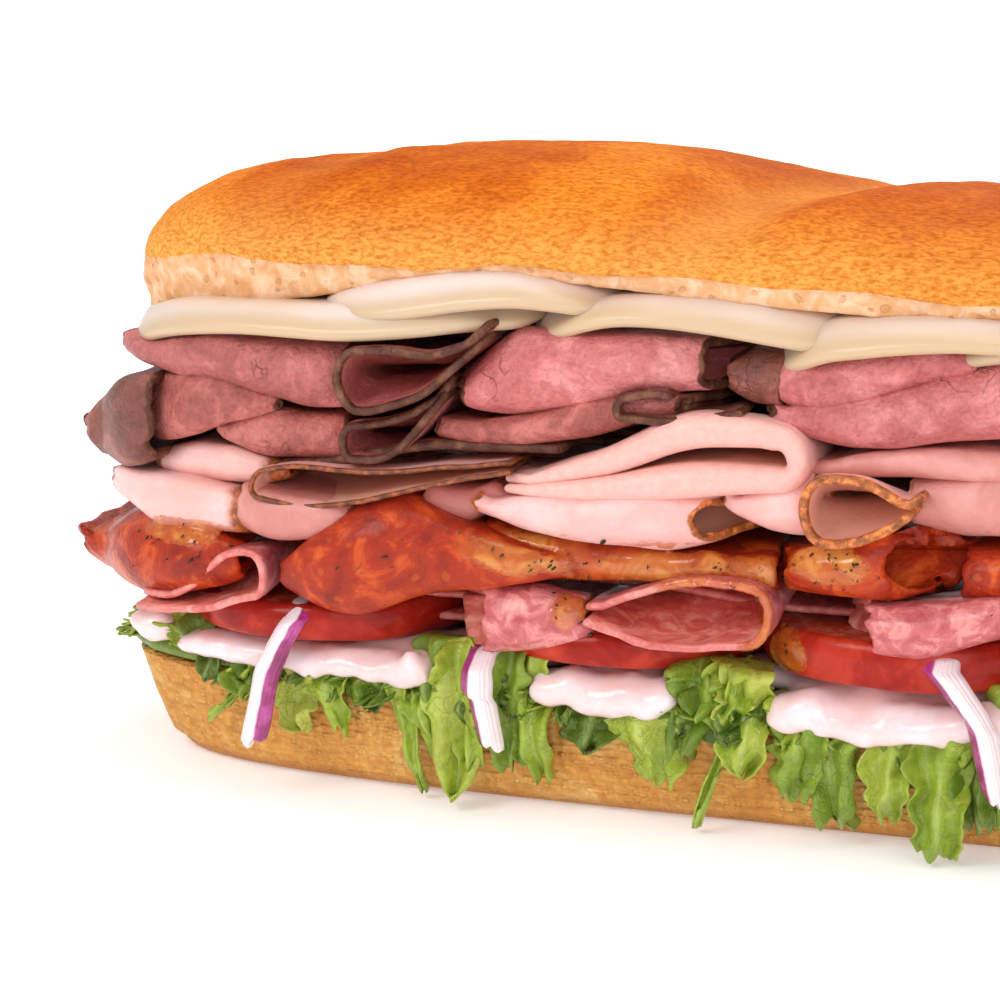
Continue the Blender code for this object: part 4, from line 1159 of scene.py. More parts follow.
def ring_mesh(name, grid, marks):
    """A closed body from rings (first index) of points, with a pole at each end."""
    rings, around = grid.shape[:2]
    points = [grid.reshape(-1, 3), grid[:1].mean(1), grid[-1:].mean(1)]
    faces = []
    for i in range(rings - 1):
        for j in range(around):
            k = (j + 1) % around
            faces.append((i * around + j, i * around + k, (i + 1) * around + k, (i + 1) * around + j))
    first, last = rings * around, rings * around + 1
    for j in range(around):
        k = (j + 1) % around
        faces.append((first, k, j))
        faces.append((last, (rings - 1) * around + j, (rings - 1) * around + k))
    values = {key: np.concatenate([v.ravel(), v[:1].mean(1), v[-1:].mean(1)]) for key, v in marks.items()}
    return mesh_object(name, np.concatenate(points), faces, values)


def build_crown():
    rings, around = 250, 150
    share = np.sin(np.linspace(-0.5, 0.5, rings + 2)[1:-1] * math.pi)
    share = 0.5 * share + 0.5 * np.arcsin(share) / (0.5 * math.pi)
    x = (ROLL_HALF_LENGTH * share)[:, None] * np.ones((1, around))
    places, heights = cut_line()
    cut = soft_line(places, heights, x, 0.04)
    half = CROWN_HALF_WIDTH * superellipse(share, 2.7)[:, None]
    rise = np.maximum(0.004, (ridge(x) - cut) * superellipse(share, 3.7)[:, None])
    border = soft_line(*cut_line(CRUMB_HEIGHTS), x, 0.04) + 0.0004 * np.sin(x / 0.005)
    widest = np.minimum(np.maximum(0.0014, border - cut), 0.62 * rise)
    upper = int(0.70 * around)
    y, z, crumb, groove = (np.zeros((rings, around)) for _ in range(4))
    turn = np.linspace(math.pi, 0.0, upper)[None, :]
    lift = power_of(np.sin(turn), 2.0 / 2.3)
    y[:, :upper] = half * power_of(np.cos(turn), 2.0 / 2.3)
    z[:, :upper] = (cut + widest)[:, :1] + (rise - widest)[:, :1] * lift
    groove[:, :upper] = slash_depth(x[:, :upper], y[:, :upper]) * np.minimum(1.0, 1.5 * lift)
    groove *= superellipse(share, 3.0)[:, None]
    z -= groove
    side = int(0.07 * around)
    down = np.linspace(0.0, 1.0, side + 1)[None, 1:]
    tuck = 0.0008 * np.minimum(1.0, 5.0 * down) + 0.0012 * down**3
    y[:, upper:upper + side] = np.maximum(half - tuck, 0.2 * half)
    z[:, upper:upper + side] = (cut + widest)[:, :1] - widest[:, :1] * down
    y[:, around - side:] = -np.maximum(half - tuck[:, ::-1], 0.2 * half)
    z[:, around - side:] = (cut + widest)[:, :1] - widest[:, :1] * down[:, ::-1]
    below = around - upper - 2 * side
    across = np.linspace(1.0, -1.0, below + 2)[None, 1:-1]
    y[:, upper + side:around - side] = 0.97 * half * across
    z[:, upper + side:around - side] = cut[:, :1]
    crumb[:, upper + side:around - side] = 1.0
    crumb[:, upper:upper + side] = np.clip(down / 0.12, 0.0, 1.0) * 0.92
    crumb[:, around - side:] = np.clip(down[:, ::-1] / 0.12, 0.0, 1.0) * 0.92
    grid = np.stack([x, y, z], -1)
    crust_side = 1.0 - np.clip(crumb * 2.0, 0.0, 1.0)
    rough_skin = 0.00055 * lumps(grid, 0.012, 2) + 0.00025 * lumps(grid, 0.0035, 5)
    rough_crumb = 0.00070 * lumps(grid, 0.0050, 6) + 0.00050 * lumps(grid, 0.0018, 7)
    away = grid - np.stack([0.93 * x, 0.0 * y, cut + 0.3 * rise], -1)
    grid += unit(away) * (crust_side * rough_skin + (1.0 - crust_side) * rough_crumb)[..., None]
    crown = ring_mesh("upper_half", grid, {"crumb": crumb, "slash": np.clip(groove / 0.0034, 0.0, 1.0)})
    crown.data.materials.append(CRUST_LOOK)
    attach(crown, "root")
    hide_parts("roll_top")
    print("upper half faces:", len(crown.data.polygons))
    return crown


build_crown()

# %% The lower half's finish and shape
def make_heel():
    made, tree, shader, place = new_material("heel_crust", 0.68, Specular_IOR_Level=0.3)
    tone = use_group(tree, MOTTLE, Vector=place, Scale=60.0, Stretch=0.5, Dark=(0.78, 0.320, 0.062),
                     Middle=(0.98, 0.545, 0.145), Light=(1.00, 0.720, 0.290))
    grain = use_group(tree, MOTTLE, Vector=place, Scale=900.0, Dark=(0.66, 0.55, 0.45), Middle=(1.0, 1.0, 1.0),
                      Light=(1.0, 1.0, 1.0))
    colour = blend_colour(tree, 0.6, tone["Colour"], grain["Colour"], "MULTIPLY")
    stretched = add_node(tree, "Mapping", Vector=place)
    stretched.inputs["Scale"].default_value = (520.0, 520.0, 700.0)
    knit = add_node(tree, "TexVoronoi", {"feature": "SMOOTH_F1"}, Vector=stretched.outputs[0], Scale=1.0,
                    Randomness=0.42)
    dimple = add_node(tree, "MapRange", Value=knit.outputs["Distance"], From_Min=0.15, From_Max=0.75, To_Min=0.0,
                      To_Max=1.0).outputs[0]
    colour = blend_colour(tree, math_node(tree, "MULTIPLY", dimple, 0.85), colour, (0.46, 0.18, 0.030))
    height = add_node(tree, "SeparateXYZ", Vector=place).outputs["Z"]
    foot = add_node(tree, "MapRange", {"interpolation_type": "SMOOTHSTEP"}, Value=height, From_Min=0.0004,
                    From_Max=0.0042, To_Min=0.8, To_Max=0.0).outputs[0]
    colour = blend_colour(tree, foot, colour, (0.42, 0.17, 0.045))
    tree.links.new(colour, shader.inputs["Base Color"])
    bumps = math_node(tree, "SUBTRACT", 1.0, dimple)
    first = add_bump(tree, shader, bumps, 0.0013, 1.0)
    fine = use_group(tree, RELIEF, Vector=place, Fine=2200.0, Coarse=300.0, Share=0.4)
    add_bump(tree, shader, fine["Height"], 0.0004, 0.5, first)
    return made


def heel_side(z):
    """Half the width of the lower half at a height, on its straight part."""
    share = np.clip(np.asarray(z) / 0.0208, 0.0, 1.0)
    return 0.0345 + 0.0055 * (0.72 * np.minimum(1.0, share / 0.55) + 0.28 * np.maximum(0.0, share - 0.55) / 0.45)


def build_heel():
    rings, around = 220, 96
    share = np.sin(np.linspace(-0.5, 0.5, rings + 2)[1:-1] * math.pi)
    share = 0.45 * share + 0.55 * np.arcsin(share) / (0.5 * math.pi)
    wall = 22
    lower = 0.5 * (around - 2 * wall)
    z_wall = 0.0208 * np.linspace(0.03, 0.985, wall)
    edge = 0.0026 * (1.0 - np.minimum(1.0, z_wall / 0.0032)) ** 2
    flat = np.linspace(-0.93, 0.93, int(lower))
    y = np.concatenate([0.0325 * flat, heel_side(z_wall) - edge, -0.0390 * flat, (-(heel_side(z_wall) - edge))[::-1]])
    z = np.concatenate([0.0 * flat, z_wall, 0.0 * flat + 0.0208, z_wall[::-1]])
    length = 0.1340 + (0.1418 - 0.1340) * np.minimum(1.0, z / 0.0208) ** 0.7 - np.where(z < 0.0028, 0.0015, 0.0)
    grid = np.empty((rings, len(y), 3))
    grid[..., 0] = share[:, None] * length[None, :]
    grid[..., 1] = y[None, :] * superellipse(share, 4.2)[:, None]
    grid[..., 2] = z[None, :]
    inward = grid * np.array([0.02, 1.0, 0.0])
    skin = 0.0006 * lumps(grid, 0.014, 3) + 0.0003 * lumps(grid, 0.004, 4)
    skin = skin * (z[None, :] > 0.001) * (z[None, :] < 0.0205)
    grid += unit(inward) * skin[..., None]
    heel = ring_mesh("lower_half", grid, {})
    heel.data.materials.append(make_heel())
    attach(heel, "root")
    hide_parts("roll_bottom")
    print("lower half faces:", len(heel.data.polygons))
    return heel


build_heel()

# %% [markdown]
# ## Tomato
# A tomato slice is a disc with a tight glossy skin round it. The cut face is wet flesh with paler walls, but the
# rim is what shows in a sandwich, so the profile is rounded and slightly uneven.

# %% Tomato slices
def make_tomato():
    made, tree, shader, place = new_material("tomato", 0.26, Specular_IOR_Level=0.12, Coat_Weight=0.16,
                                             Coat_Roughness=0.08)
    tone = use_group(tree, MOTTLE, Vector=place, Scale=90.0, Stretch=0.6, Dark=(0.26, 0.009, 0.005),
                     Middle=(0.42, 0.022, 0.011), Light=(0.56, 0.050, 0.022))
    cut = attribute(tree, "cut")
    flesh = use_group(tree, MOTTLE, Vector=place, Scale=210.0, Stretch=1.2, Dark=(0.40, 0.030, 0.012),
                      Middle=(0.56, 0.075, 0.028), Light=(0.70, 0.17, 0.075))
    colour = blend_colour(tree, cut, tone["Colour"], flesh["Colour"])
    tree.links.new(colour, shader.inputs["Base Color"])
    fine = use_group(tree, RELIEF, Vector=place, Fine=700.0, Coarse=170.0, Share=0.7)
    add_bump(tree, shader, fine["Height"], 0.0003, 0.5)
    return made


TOMATO_LOOK = make_tomato()


def build_tomato(name, taller=0.0):
    low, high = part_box(name)
    centre, radius = 0.5 * (low + high), 0.5 * (high.x - low.x)
    thick = high.z - low.z + taller
    if "front" in name:
        low.z, centre.y = low.z - 0.0008, centre.y - 0.0016
    if name == "tomato_front_3":
        centre.x -= 0.0085
    profile = [(0.0, 0.0), (0.35, 0.0), (0.7, 0.0), (0.90, 0.01)]
    profile += [(0.935 + 0.075 * math.cos(a) ** 0.8, 0.5 + 0.5 * math.sin(a)) for a in np.linspace(-1.45, 1.45, 15)]
    profile += [(0.90, 0.99), (0.7, 1.0), (0.35, 1.0), (0.0, 1.0)]
    around, rows = 96, len(profile)
    grid = np.empty((rows, around, 3))
    for j in range(around):
        turn = 2.0 * math.pi * j / around
        wave = 1.0 + 0.012 * math.sin(3.0 * turn + len(name)) + 0.008 * math.sin(5.0 * turn + 1.3)
        for i, (r, h) in enumerate(profile):
            out = radius * r * wave * 1.005
            grid[i, j] = (centre.x + out * math.cos(turn), centre.y + out * math.sin(turn), low.z + thick * h)
    points, faces = [tuple(grid[0, 0])], []
    ring = grid[1:-1].reshape(-1, 3)
    count = rows - 2
    for j in range(around):
        k = (j + 1) % around
        faces.append((0, 1 + k, 1 + j))
        for i in range(count - 1):
            faces.append((1 + i * around + j, 1 + i * around + k, 1 + (i + 1) * around + k, 1 + (i + 1) * around + j))
        faces.append((1 + count * around, 1 + (count - 1) * around + j, 1 + (count - 1) * around + k))
    points = np.concatenate([grid[:1, 0], ring, grid[-1:, 0]])
    points[:, 2] += 0.0004 * lumps(points, 0.009, 7)
    cut = np.concatenate([[1.0], np.repeat([1.0 if r <= 0.9 else 0.0 for r, _ in profile[1:-1]], around), [1.0]])
    tomato = mesh_object(name + "_slice", points, faces, {"cut": cut})
    tomato.data.materials.append(TOMATO_LOOK)
    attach(tomato, "root")
    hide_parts(name)


for row, count in (("front", 4), ("back", 3)):
    for number in range(1, count + 1):
        build_tomato(f"tomato_{row}_{number}", {"back": 0.0, "front": (0.0026, 0.0014, 0.0040, 0.0024)[number - 1]}[row])
print("tomato slices: 7")


# %% [markdown]
# ## Mayonnaise
# Mayonnaise has no edges: it is pressed out in fat lobes that sag over the bread. Many squashed balls are joined
# and wrapped in one skin with a voxel remesh, which rounds every join as a thick sauce does.

# %% Joining balls into one skin
def blob_mesh(name, balls, voxel, smoothing, detail=3):
    """One skin round a list of balls: (centre, the three half sizes)."""
    import bmesh

    bm = bmesh.new()
    for centre, size in balls:
        made = bmesh.ops.create_icosphere(bm, subdivisions=detail, radius=1.0)
        for vertex in made["verts"]:
            vertex.co = Vector(centre) + Vector([a * b for a, b in zip(vertex.co, size)])
    rough = bpy.data.meshes.new(name + "_rough")
    bm.to_mesh(rough)
    bm.free()
    helper = bpy.data.objects.new(name + "_rough", rough)
    scene.collection.objects.link(helper)
    remesh = helper.modifiers.new("skin", "REMESH")
    remesh.mode, remesh.voxel_size = "VOXEL", voxel
    relax = helper.modifiers.new("relax", "SMOOTH")
    relax.factor, relax.iterations = 0.6, smoothing
    mesh = bpy.data.meshes.new_from_object(helper.evaluated_get(bpy.context.evaluated_depsgraph_get()))
    bpy.data.objects.remove(helper)
    points = np.empty(3 * len(mesh.vertices))
    mesh.vertices.foreach_get("co", points)
    points = points.reshape(-1, 3)
    points += np.stack([0.33 * voxel * lumps(points, 0.0042, k) for k in range(3)], -1)
    mesh.vertices.foreach_set("co", points.ravel())
    mesh.shade_smooth()
    made = bpy.data.objects.new(name, mesh)
    scene.collection.objects.link(made)
    return made


def make_mayo():
    made, tree, shader, place = new_material("mayo", 0.22, Specular_IOR_Level=0.5, Coat_Weight=0.35,
                                             Coat_Roughness=0.12, Subsurface_Weight=0.2, Subsurface_Scale=0.004)
    tone = use_group(tree, MOTTLE, Vector=place, Scale=120.0, Stretch=0.5, Dark=(0.92, 0.62, 0.60),
                     Middle=(0.95, 0.72, 0.73), Light=(0.96, 0.80, 0.83))
    tree.links.new(tone["Colour"], shader.inputs["Base Color"])
    fine = use_group(tree, RELIEF, Vector=place, Fine=900.0, Coarse=240.0, Share=0.8)
    add_bump(tree, shader, fine["Height"], 0.0003, 0.5)
    return made


# %% The spread and its lobes
RIM_TURNS = np.linspace(0.0, 2.0 * math.pi, 4001)
RIM_X = 0.1425 * power_of(np.cos(RIM_TURNS), 2.0 / 4.2)
RIM_Y = 0.0400 * power_of(np.sin(RIM_TURNS), 2.0 / 4.2)
RIM_RUN = np.concatenate([[0.0], np.cumsum(np.hypot(np.diff(RIM_X), np.diff(RIM_Y)))])


def rim_at(run):
    """The place on the edge of the lower half's cut after a run round it, and the direction straight out."""
    run = run % RIM_RUN[-1]
    x, y = np.interp(run, RIM_RUN, RIM_X), np.interp(run, RIM_RUN, RIM_Y)
    ahead = (run + 0.0004) % RIM_RUN[-1]
    tangent = np.array([np.interp(ahead, RIM_RUN, RIM_X) - x, np.interp(ahead, RIM_RUN, RIM_Y) - y])
    tangent /= max(1e-9, np.hypot(*tangent))
    return np.array([x, y]), tangent, np.array([tangent[1], -tangent[0]])


def front_run(x):
    """The run at which the front edge passes x."""
    front = RIM_Y < 0.0
    return float(np.interp(x, RIM_X[front], RIM_RUN[front]))


# stretches along the front where leaves come up instead, in millimetres
MAYO_GAPS = ((-70.0, -50.0), (-26.0, -6.0), (36.0, 46.0))
MAYO_LOBES = (
    # from, to along the front, how low they hang, all in millimetres
    (-134.0, -128.0, 27.0),
    (-122.0, -108.0, 23.8),
    (-106.0, -72.0, 22.8),
    (-49.0, -27.0, 20.8),
    (-5.0, 35.0, 20.4),
    (48.0, 66.0, 21.5),
    (84.0, 118.0, 22.0),
)


def build_mayonnaise():
    chance = np.random.default_rng(7)
    balls = []
    for x in np.linspace(-0.118, 0.118, 9):
        balls.append(((x, 0.0, 0.0272), (0.026, 0.036, 0.0026)))
    for run in np.arange(0.0, RIM_RUN[-1], 0.0085):
        point, _, out = rim_at(run + 0.002 * chance.uniform(-1, 1))
        bare = point[1] < 0.0 and any(a < 1000.0 * point[0] < b for a, b in MAYO_GAPS)
        inner = point - (0.0135 if bare else 0.0090) * out
        size = chance.uniform(0.8, 1.15)
        balls.append(((*inner, 0.0276 + 0.0006 * chance.uniform(-1, 1)), (0.0085 * size, 0.0085 * size, 0.0030)))
    for start, end, lowest in MAYO_LOBES:
        x = start
        while x < end:
            size = chance.uniform(0.75, 1.3)
            wide = 3.6 * size
            point, _, out = rim_at(front_run(0.001 * (x + 0.5 * wide)))
            drop = chance.uniform(0.2, 1.0)
            z = 0.001 * (27.0 + (lowest - 27.0 + 2.2) * drop)
            place = point + 0.0026 * out
            balls.append(((*place, z), (0.001 * wide, 0.0034, 0.0026 * size)))
            balls.append(((*(point + 0.0004 * out), 0.5 * (z + 0.0272)), (0.001 * wide, 0.0040, 0.0030)))
            x += 0.9 * wide
    peak, _, out = rim_at(front_run(-0.0735))
    balls.append(((*(peak + 0.0040 * out), 0.0280), (0.0020, 0.0020, 0.0034)))
    spread = blob_mesh("mayonnaise_spread", balls, 0.00105, 6)
    spread.data.materials.clear()
    spread.data.materials.append(make_mayo())
    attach(spread, "root")
    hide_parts("mayonnaise")
    print("mayonnaise faces:", len(spread.data.polygons))


build_mayonnaise()

# %% [markdown]
# ## Lettuce
# Shredded lettuce is ribbons of leaf: a thin crinkled sheet with a pale vein, torn sides and a free end that
# hangs and curls. Each ribbon is its own sheet, bent over the edge of the roll, and all of them are one piece.

# %% The lettuce's finish
def make_lettuce():
    made, tree, shader, place = new_material("lettuce", 0.30, Specular_IOR_Level=0.5, Subsurface_Weight=0.15,
                                             Subsurface_Scale=0.002)
    tone = attribute(tree, "tone")
    colour = ramp(tree, tone, [(0.0, (0.070, 0.130, 0.014)), (0.40, (0.200, 0.310, 0.024)),
                               (0.70, (0.410, 0.520, 0.050)), (1.0, (0.640, 0.640, 0.130))])
    patches = use_group(tree, MOTTLE, Vector=place, Scale=330.0, Stretch=0.9, Dark=(0.60, 0.66, 0.50),
                        Middle=(0.95, 0.95, 0.95), Light=(1.0, 1.0, 1.0))
    colour = blend_colour(tree, 0.85, colour, patches["Colour"], "MULTIPLY")
    vein = attribute(tree, "vein")
    wiggle = add_node(tree, "TexNoise", Vector=place, Scale=300.0, Detail=2.0)
    vein = math_node(tree, "ADD", vein, math_node(tree, "MULTIPLY", wiggle.outputs["Fac"], 0.12))
    line = add_node(tree, "MapRange", {"interpolation_type": "SMOOTHSTEP"}, Value=vein, From_Min=0.10,
                    From_Max=0.22, To_Min=0.25, To_Max=0.0).outputs[0]
    colour = blend_colour(tree, line, colour, (0.56, 0.64, 0.22))
    cells = use_group(tree, CRACKS, Vector=place, Scale=330.0, Width=0.05, Amount=0.55)
    colour = blend_colour(tree, math_node(tree, "MULTIPLY", cells["Mask"], 0.14), colour, (0.50, 0.58, 0.16))
    tree.links.new(colour, shader.inputs["Base Color"])
    fine = use_group(tree, RELIEF, Vector=place, Fine=1300.0, Coarse=430.0, Share=0.6)
    first = add_bump(tree, shader, fine["Height"], 0.0007, 0.7)
    add_bump(tree, shader, cells["Mask"], -0.0003, 0.6, first)
    return made


# %% One ribbon of leaf
def leaf_ribbon(run, lean, wide, lowest, tone, flare, seed, shape="point", root=0.0245, mesh=(24, 11)):
    """A ribbon that starts in the heap, passes over the edge after that run round the roll, and hangs down to
    lowest. lean is how far it drifts along the edge, flare how far its end stands off the side, and mesh its
    rows and columns."""
    point, tangent, out = rim_at(run)
    rows, columns = mesh
    s, u = np.linspace(0.0, 1.0, rows)[:, None], np.linspace(-1.0, 1.0, columns)[None, :]
    over = np.clip(s / 0.34, 0.0, 1.0)
    down = np.clip((s - 0.22) / 0.78, 0.0, 1.0)
    z = root + 0.0016 * np.sin(math.pi * over) - (root - lowest) * down**1.15
    height = np.clip(z, 0.0, 0.0208)
    away = 0.0016 + flare * down**1.6 + 0.0012 * np.sin(9.0 * down + seed)
    outward = -0.0090 + (0.0090 + away) * np.sin(0.5 * math.pi * over) - (0.040 - heel_side(height)) * down
    middle = 0.0009 * np.sin(5.0 * s + 1.7 * seed)
    ends = {"point": (1.0 - down**4.0) ** 0.7, "torn": 1.0 - 0.25 * down**3, "round": (1.0 - down**7) ** 0.5}[shape]
    width = wide * (0.55 + 0.45 * np.sin(math.pi * np.clip(0.12 + 0.75 * s, 0.0, 1.0))) * np.maximum(ends, 0.04)
    side = np.stack([s + 0 * u, np.sign(u) + 0 * s, 0 * s * u + seed], -1)
    tear = 1.0 + 0.30 * lumps(side, 0.11, 2) + 0.22 * lumps(side, 0.045, 6)
    sideways = middle + lean * down**1.2 + 0.5 * width * u * tear
    crinkle = np.abs(u) ** 1.3 * np.sin(s * (11.0 + 4.0 * math.sin(seed)) + seed + 1.4 * np.sign(u))
    ruffle = 0.20 * wide * crinkle + 0.0005 * np.sin(15.0 * s + 3.0 * u + seed)
    ruffle += 0.15 * wide * np.cos(math.pi * (1.5 * u + 0.9 * np.sin(2.1 * seed) + 1.2 * s)) * over
    cup = 0.10 * wide * math.sin(2.3 * seed) * u**2
    if shape == "torn":
        z = z + 0.0012 * np.sin(7.0 * u + seed) * down**3
    place = np.empty((rows, columns, 3))
    outward = outward + (ruffle + cup) * (0.35 + 0.65 * over)
    clear = np.where(z < 0.0215, 0.0011 - (0.040 - heel_side(height)), -0.02)
    outward = np.maximum(outward, clear)
    place[..., 0] = point[0] + out[0] * outward + tangent[0] * sideways
    place[..., 1] = point[1] + out[1] * outward + tangent[1] * sideways
    place[..., 2] = np.maximum(z + 0.0007 * crinkle, 0.0010)
    place += np.stack([0.0005 * lumps(place + seed, 0.004, k) for k in range(3)], -1)
    place[..., 2] = np.maximum(place[..., 2], 0.0008)
    points, faces, marks = sheet_parts(place[:, ::-1], 0.00042, 1)
    spread = (rows, columns)
    both = lambda grid, edge: np.concatenate([grid.ravel(), grid.ravel(), np.full(len(points) - 2 * grid.size, edge)])
    vein = np.broadcast_to(np.abs(u), spread)[:, ::-1]
    branch = np.abs(((s * 7.0 + np.abs(u) * 1.1) % 1.0) - 0.5) * 1.6 + 0.10
    vein = np.minimum(vein, np.maximum(branch, 0.0) + 0.25 * (np.abs(u) > 0.8))
    shade = tone + 0.16 * (0.5 - s) + 0.10 * lumps(place, 0.006, 3)
    marks["vein"] = both(np.broadcast_to(vein, spread), 1.0)
    marks["tone"] = both(np.clip(np.broadcast_to(shade, spread), 0.0, 1.0), tone)
    return points, faces, marks


# %% The heap
FRONT_LEAVES = (
    # place along the front, lean, width, lowest point (mm), tone, flare (mm), end
    (-125.0, 2.0, 8.0, 26.0, 0.62, 2.5, "round"),
    (-20.0, 2.0, 11.0, 22.0, 0.45, 1.5, "round"),
    (-13.0, 0.0, 9.0, 23.0, 0.70, 2.0, "torn"),
    (-117.5, 0.5, 6.5, 20.0, 0.16, 1.0, "round"),
    (-108.0, -9.0, 3.0, 12.5, 0.72, 1.0, "torn"),
    (-97.5, 0.0, 9.0, 11.0, 0.86, 1.5, "round"),
    (-91.0, 2.0, 8.0, 13.5, 0.74, 1.0, "torn"),
    (-80.0, -1.5, 7.0, 19.0, 0.30, 1.5, "round"),
    (-76.5, 2.0, 3.2, 1.8, 0.62, 1.0, "torn"),
    (-73.0, 3.0, 8.0, 9.0, 0.66, 1.5, "torn"),
    (-67.0, 1.0, 11.0, 2.2, 0.80, 4.0, "round"),
    (-70.0, -2.0, 9.0, 15.5, 0.36, 1.5, "torn"),
    (-64.5, 1.0, 7.0, 9.0, 0.70, 1.0, "torn"),
    (-56.0, 2.0, 9.5, 10.0, 0.44, 1.5, "torn"),
    (-51.0, 1.5, 8.0, 7.0, 0.62, 2.0, "torn"),
    (-40.0, 1.0, 11.0, 14.0, 0.15, 1.5, "round"),
    (-30.0, 3.0, 12.5, 10.0, 0.76, 2.0, "torn"),
    (-22.0, 1.0, 10.0, 15.0, 0.40, 1.5, "torn"),
    (-15.5, 1.0, 10.0, 16.0, 0.22, 2.0, "round"),
    (-11.0, 0.5, 10.0, 12.5, 0.80, 3.0, "round"),
    (-12.0, -8.0, 1.8, 1.4, 0.66, 3.0, "torn"),
    (-2.0, 1.0, 10.0, 9.5, 0.58, 2.5, "torn"),
    (4.5, 2.0, 10.5, 4.5, 0.48, 2.0, "torn"),
    (14.0, 1.0, 9.0, 5.5, 0.78, 2.0, "torn"),
    (25.0, -1.0, 11.0, 1.4, 0.60, 9.0, "torn"),
    (30.0, 2.0, 8.0, 6.0, 0.40, 2.0, "torn"),
    (35.5, 1.0, 8.0, 5.0, 0.52, 1.0, "torn"),
)


def build_lettuce():
    chance = np.random.default_rng(21)
    parts = []
    shapes = ("point", "torn", "round")
    for x, lean, wide, lowest, tone, flare, shape in FRONT_LEAVES:
        # the edge runs towards -X along the back and +X along the front, so a lean keeps its sign
        seed = 0.37 * abs(x) + wide
        root = 0.0308 if x < -115.0 or any(a - 1.0 < x < b + 1.0 for a, b in MAYO_GAPS) else 0.0245
        parts.append(leaf_ribbon(front_run(0.001 * x), 0.001 * lean, 0.001 * wide, 0.001 * lowest, tone,
                                 0.001 * flare, seed, shape, root, (30, 13)))
    for k in range(29):
        x = -0.110 + 0.0052 * k + 0.002 * chance.uniform(-1, 1)
        parts.append(leaf_ribbon(front_run(x), 0.004 * chance.uniform(-1, 1), 0.001 * chance.uniform(4.0, 8.5),
                                 0.001 * chance.uniform(16.5, 21.5), chance.uniform(0.12, 0.7),
                                 0.001 * chance.uniform(0.2, 1.6), 0.9 * k + 0.4, shapes[k % 3], 0.0256))
    start, end = front_run(0.038), front_run(-0.134) + RIM_RUN[-1]
    runs = np.arange(start, end, 0.0064)
    for k, run in enumerate(runs):
        low = 0.001 * (chance.uniform(3.0, 12.0) if k % 3 == 0 else chance.uniform(11.0, 20.0))
        wide, flare = 0.001 * chance.uniform(5.0, 11.0), 0.001 * chance.uniform(0.5, 3.0)
        if rim_at(run)[0][0] < -0.116:
            low, wide, flare = 0.0225 + 0.1 * (low - 0.003), 0.6 * wide, 0.2 * flare
        parts.append(leaf_ribbon(run + 0.0015 * chance.uniform(-1, 1), 0.004 * chance.uniform(-1, 1), wide, low,
                                 chance.uniform(0.15, 0.85), flare, 1.3 * k + 0.7, shapes[(k * 2) % 3]))
    rows, columns = 20, 60
    along_x = np.linspace(-0.1385, 0.1385, columns)[None, :] * np.ones((rows, 1))
    half = 0.0385 * superellipse(along_x / 0.1425, 4.2)
    bed = np.empty((rows, columns, 3))
    bed[..., 0], bed[..., 1] = along_x, half * np.linspace(1.0, -1.0, rows)[:, None]
    bed[..., 2] = 0.0240 + 0.0006 * lumps(bed, 0.005, 2)
    core_points, core_faces, core_marks = sheet_parts(bed[::-1], 0.0026, 2)
    core_marks["vein"] = np.ones(len(core_points))
    core_marks["tone"] = np.full(len(core_points), 0.35)
    parts.append((core_points, core_faces, core_marks))
    leaves = mesh_object("lettuce_leaves", *join_parts(parts))
    leaves.data.materials.append(make_lettuce())
    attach(leaves, "root")
    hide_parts("lettuce")
    print("leaves:", len(parts), "faces:", len(leaves.data.polygons))


build_lettuce()

# %% [markdown]
# ## Red onion
# A strip of red onion is a piece of one ring: wet white flesh with fine lines along it, and the purple skin down
# one side. The strip comes out over the tomato, bends and hangs.

# %% Onion strips
def make_onion():
    made, tree, shader, place = new_material("red_onion", 0.20, Specular_IOR_Level=0.55, Coat_Weight=0.4,
                                             Coat_Roughness=0.1, Subsurface_Weight=0.15, Subsurface_Scale=0.003)
    across = attribute(tree, "across")
    lines = add_node(tree, "TexNoise", Vector=place, Scale=300.0, Detail=2.0)
    wobble = math_node(tree, "MULTIPLY", math_node(tree, "SUBTRACT", lines.outputs["Fac"], 0.5), 0.12)
    edge = math_node(tree, "ADD", across, wobble)
    stripes = add_node(tree, "TexWave", {"wave_type": "BANDS", "bands_direction": "X"},
                       Vector=add_node(tree, "CombineXYZ", X=across).outputs[0], Scale=2.6, Distortion=0.0)
    flesh = blend_colour(tree, stripes.outputs["Fac"], (0.92, 0.76, 0.80), (0.95, 0.84, 0.86))
    skin = use_group(tree, MOTTLE, Vector=place, Scale=260.0, Dark=(0.27, 0.018, 0.13), Middle=(0.44, 0.034, 0.235),
                     Light=(0.60, 0.10, 0.40))
    purple = add_node(tree, "MapRange", {"interpolation_type": "SMOOTHSTEP"}, Value=edge, From_Min=0.60,
                      From_Max=0.70).outputs[0]
    tree.links.new(blend_colour(tree, purple, flesh, skin["Colour"]), shader.inputs["Base Color"])
    fine = use_group(tree, RELIEF, Vector=place, Fine=1500.0, Coarse=500.0, Share=0.5)
    first = add_bump(tree, shader, fine["Height"], 0.0003, 0.5)
    add_bump(tree, shader, stripes.outputs["Fac"], 0.0002, 0.4, first)
    return made


ONION_LOOK = make_onion()
# where it comes out, its lean, how low it reaches (mm), the side of its skin, its bow sideways, its top
ONION_STRIPS = (
    (-95.5, -9.0, 11.5, 1.0, 0.4, 38.0),
    (-60.0, 2.5, 15.5, -1.0, -0.8, 32.0),
    (24.0, 10.5, 14.0, -1.0, 0.8, 38.0),
    (72.0, -7.0, 12.0, 1.0, 0.6, 38.6),
)


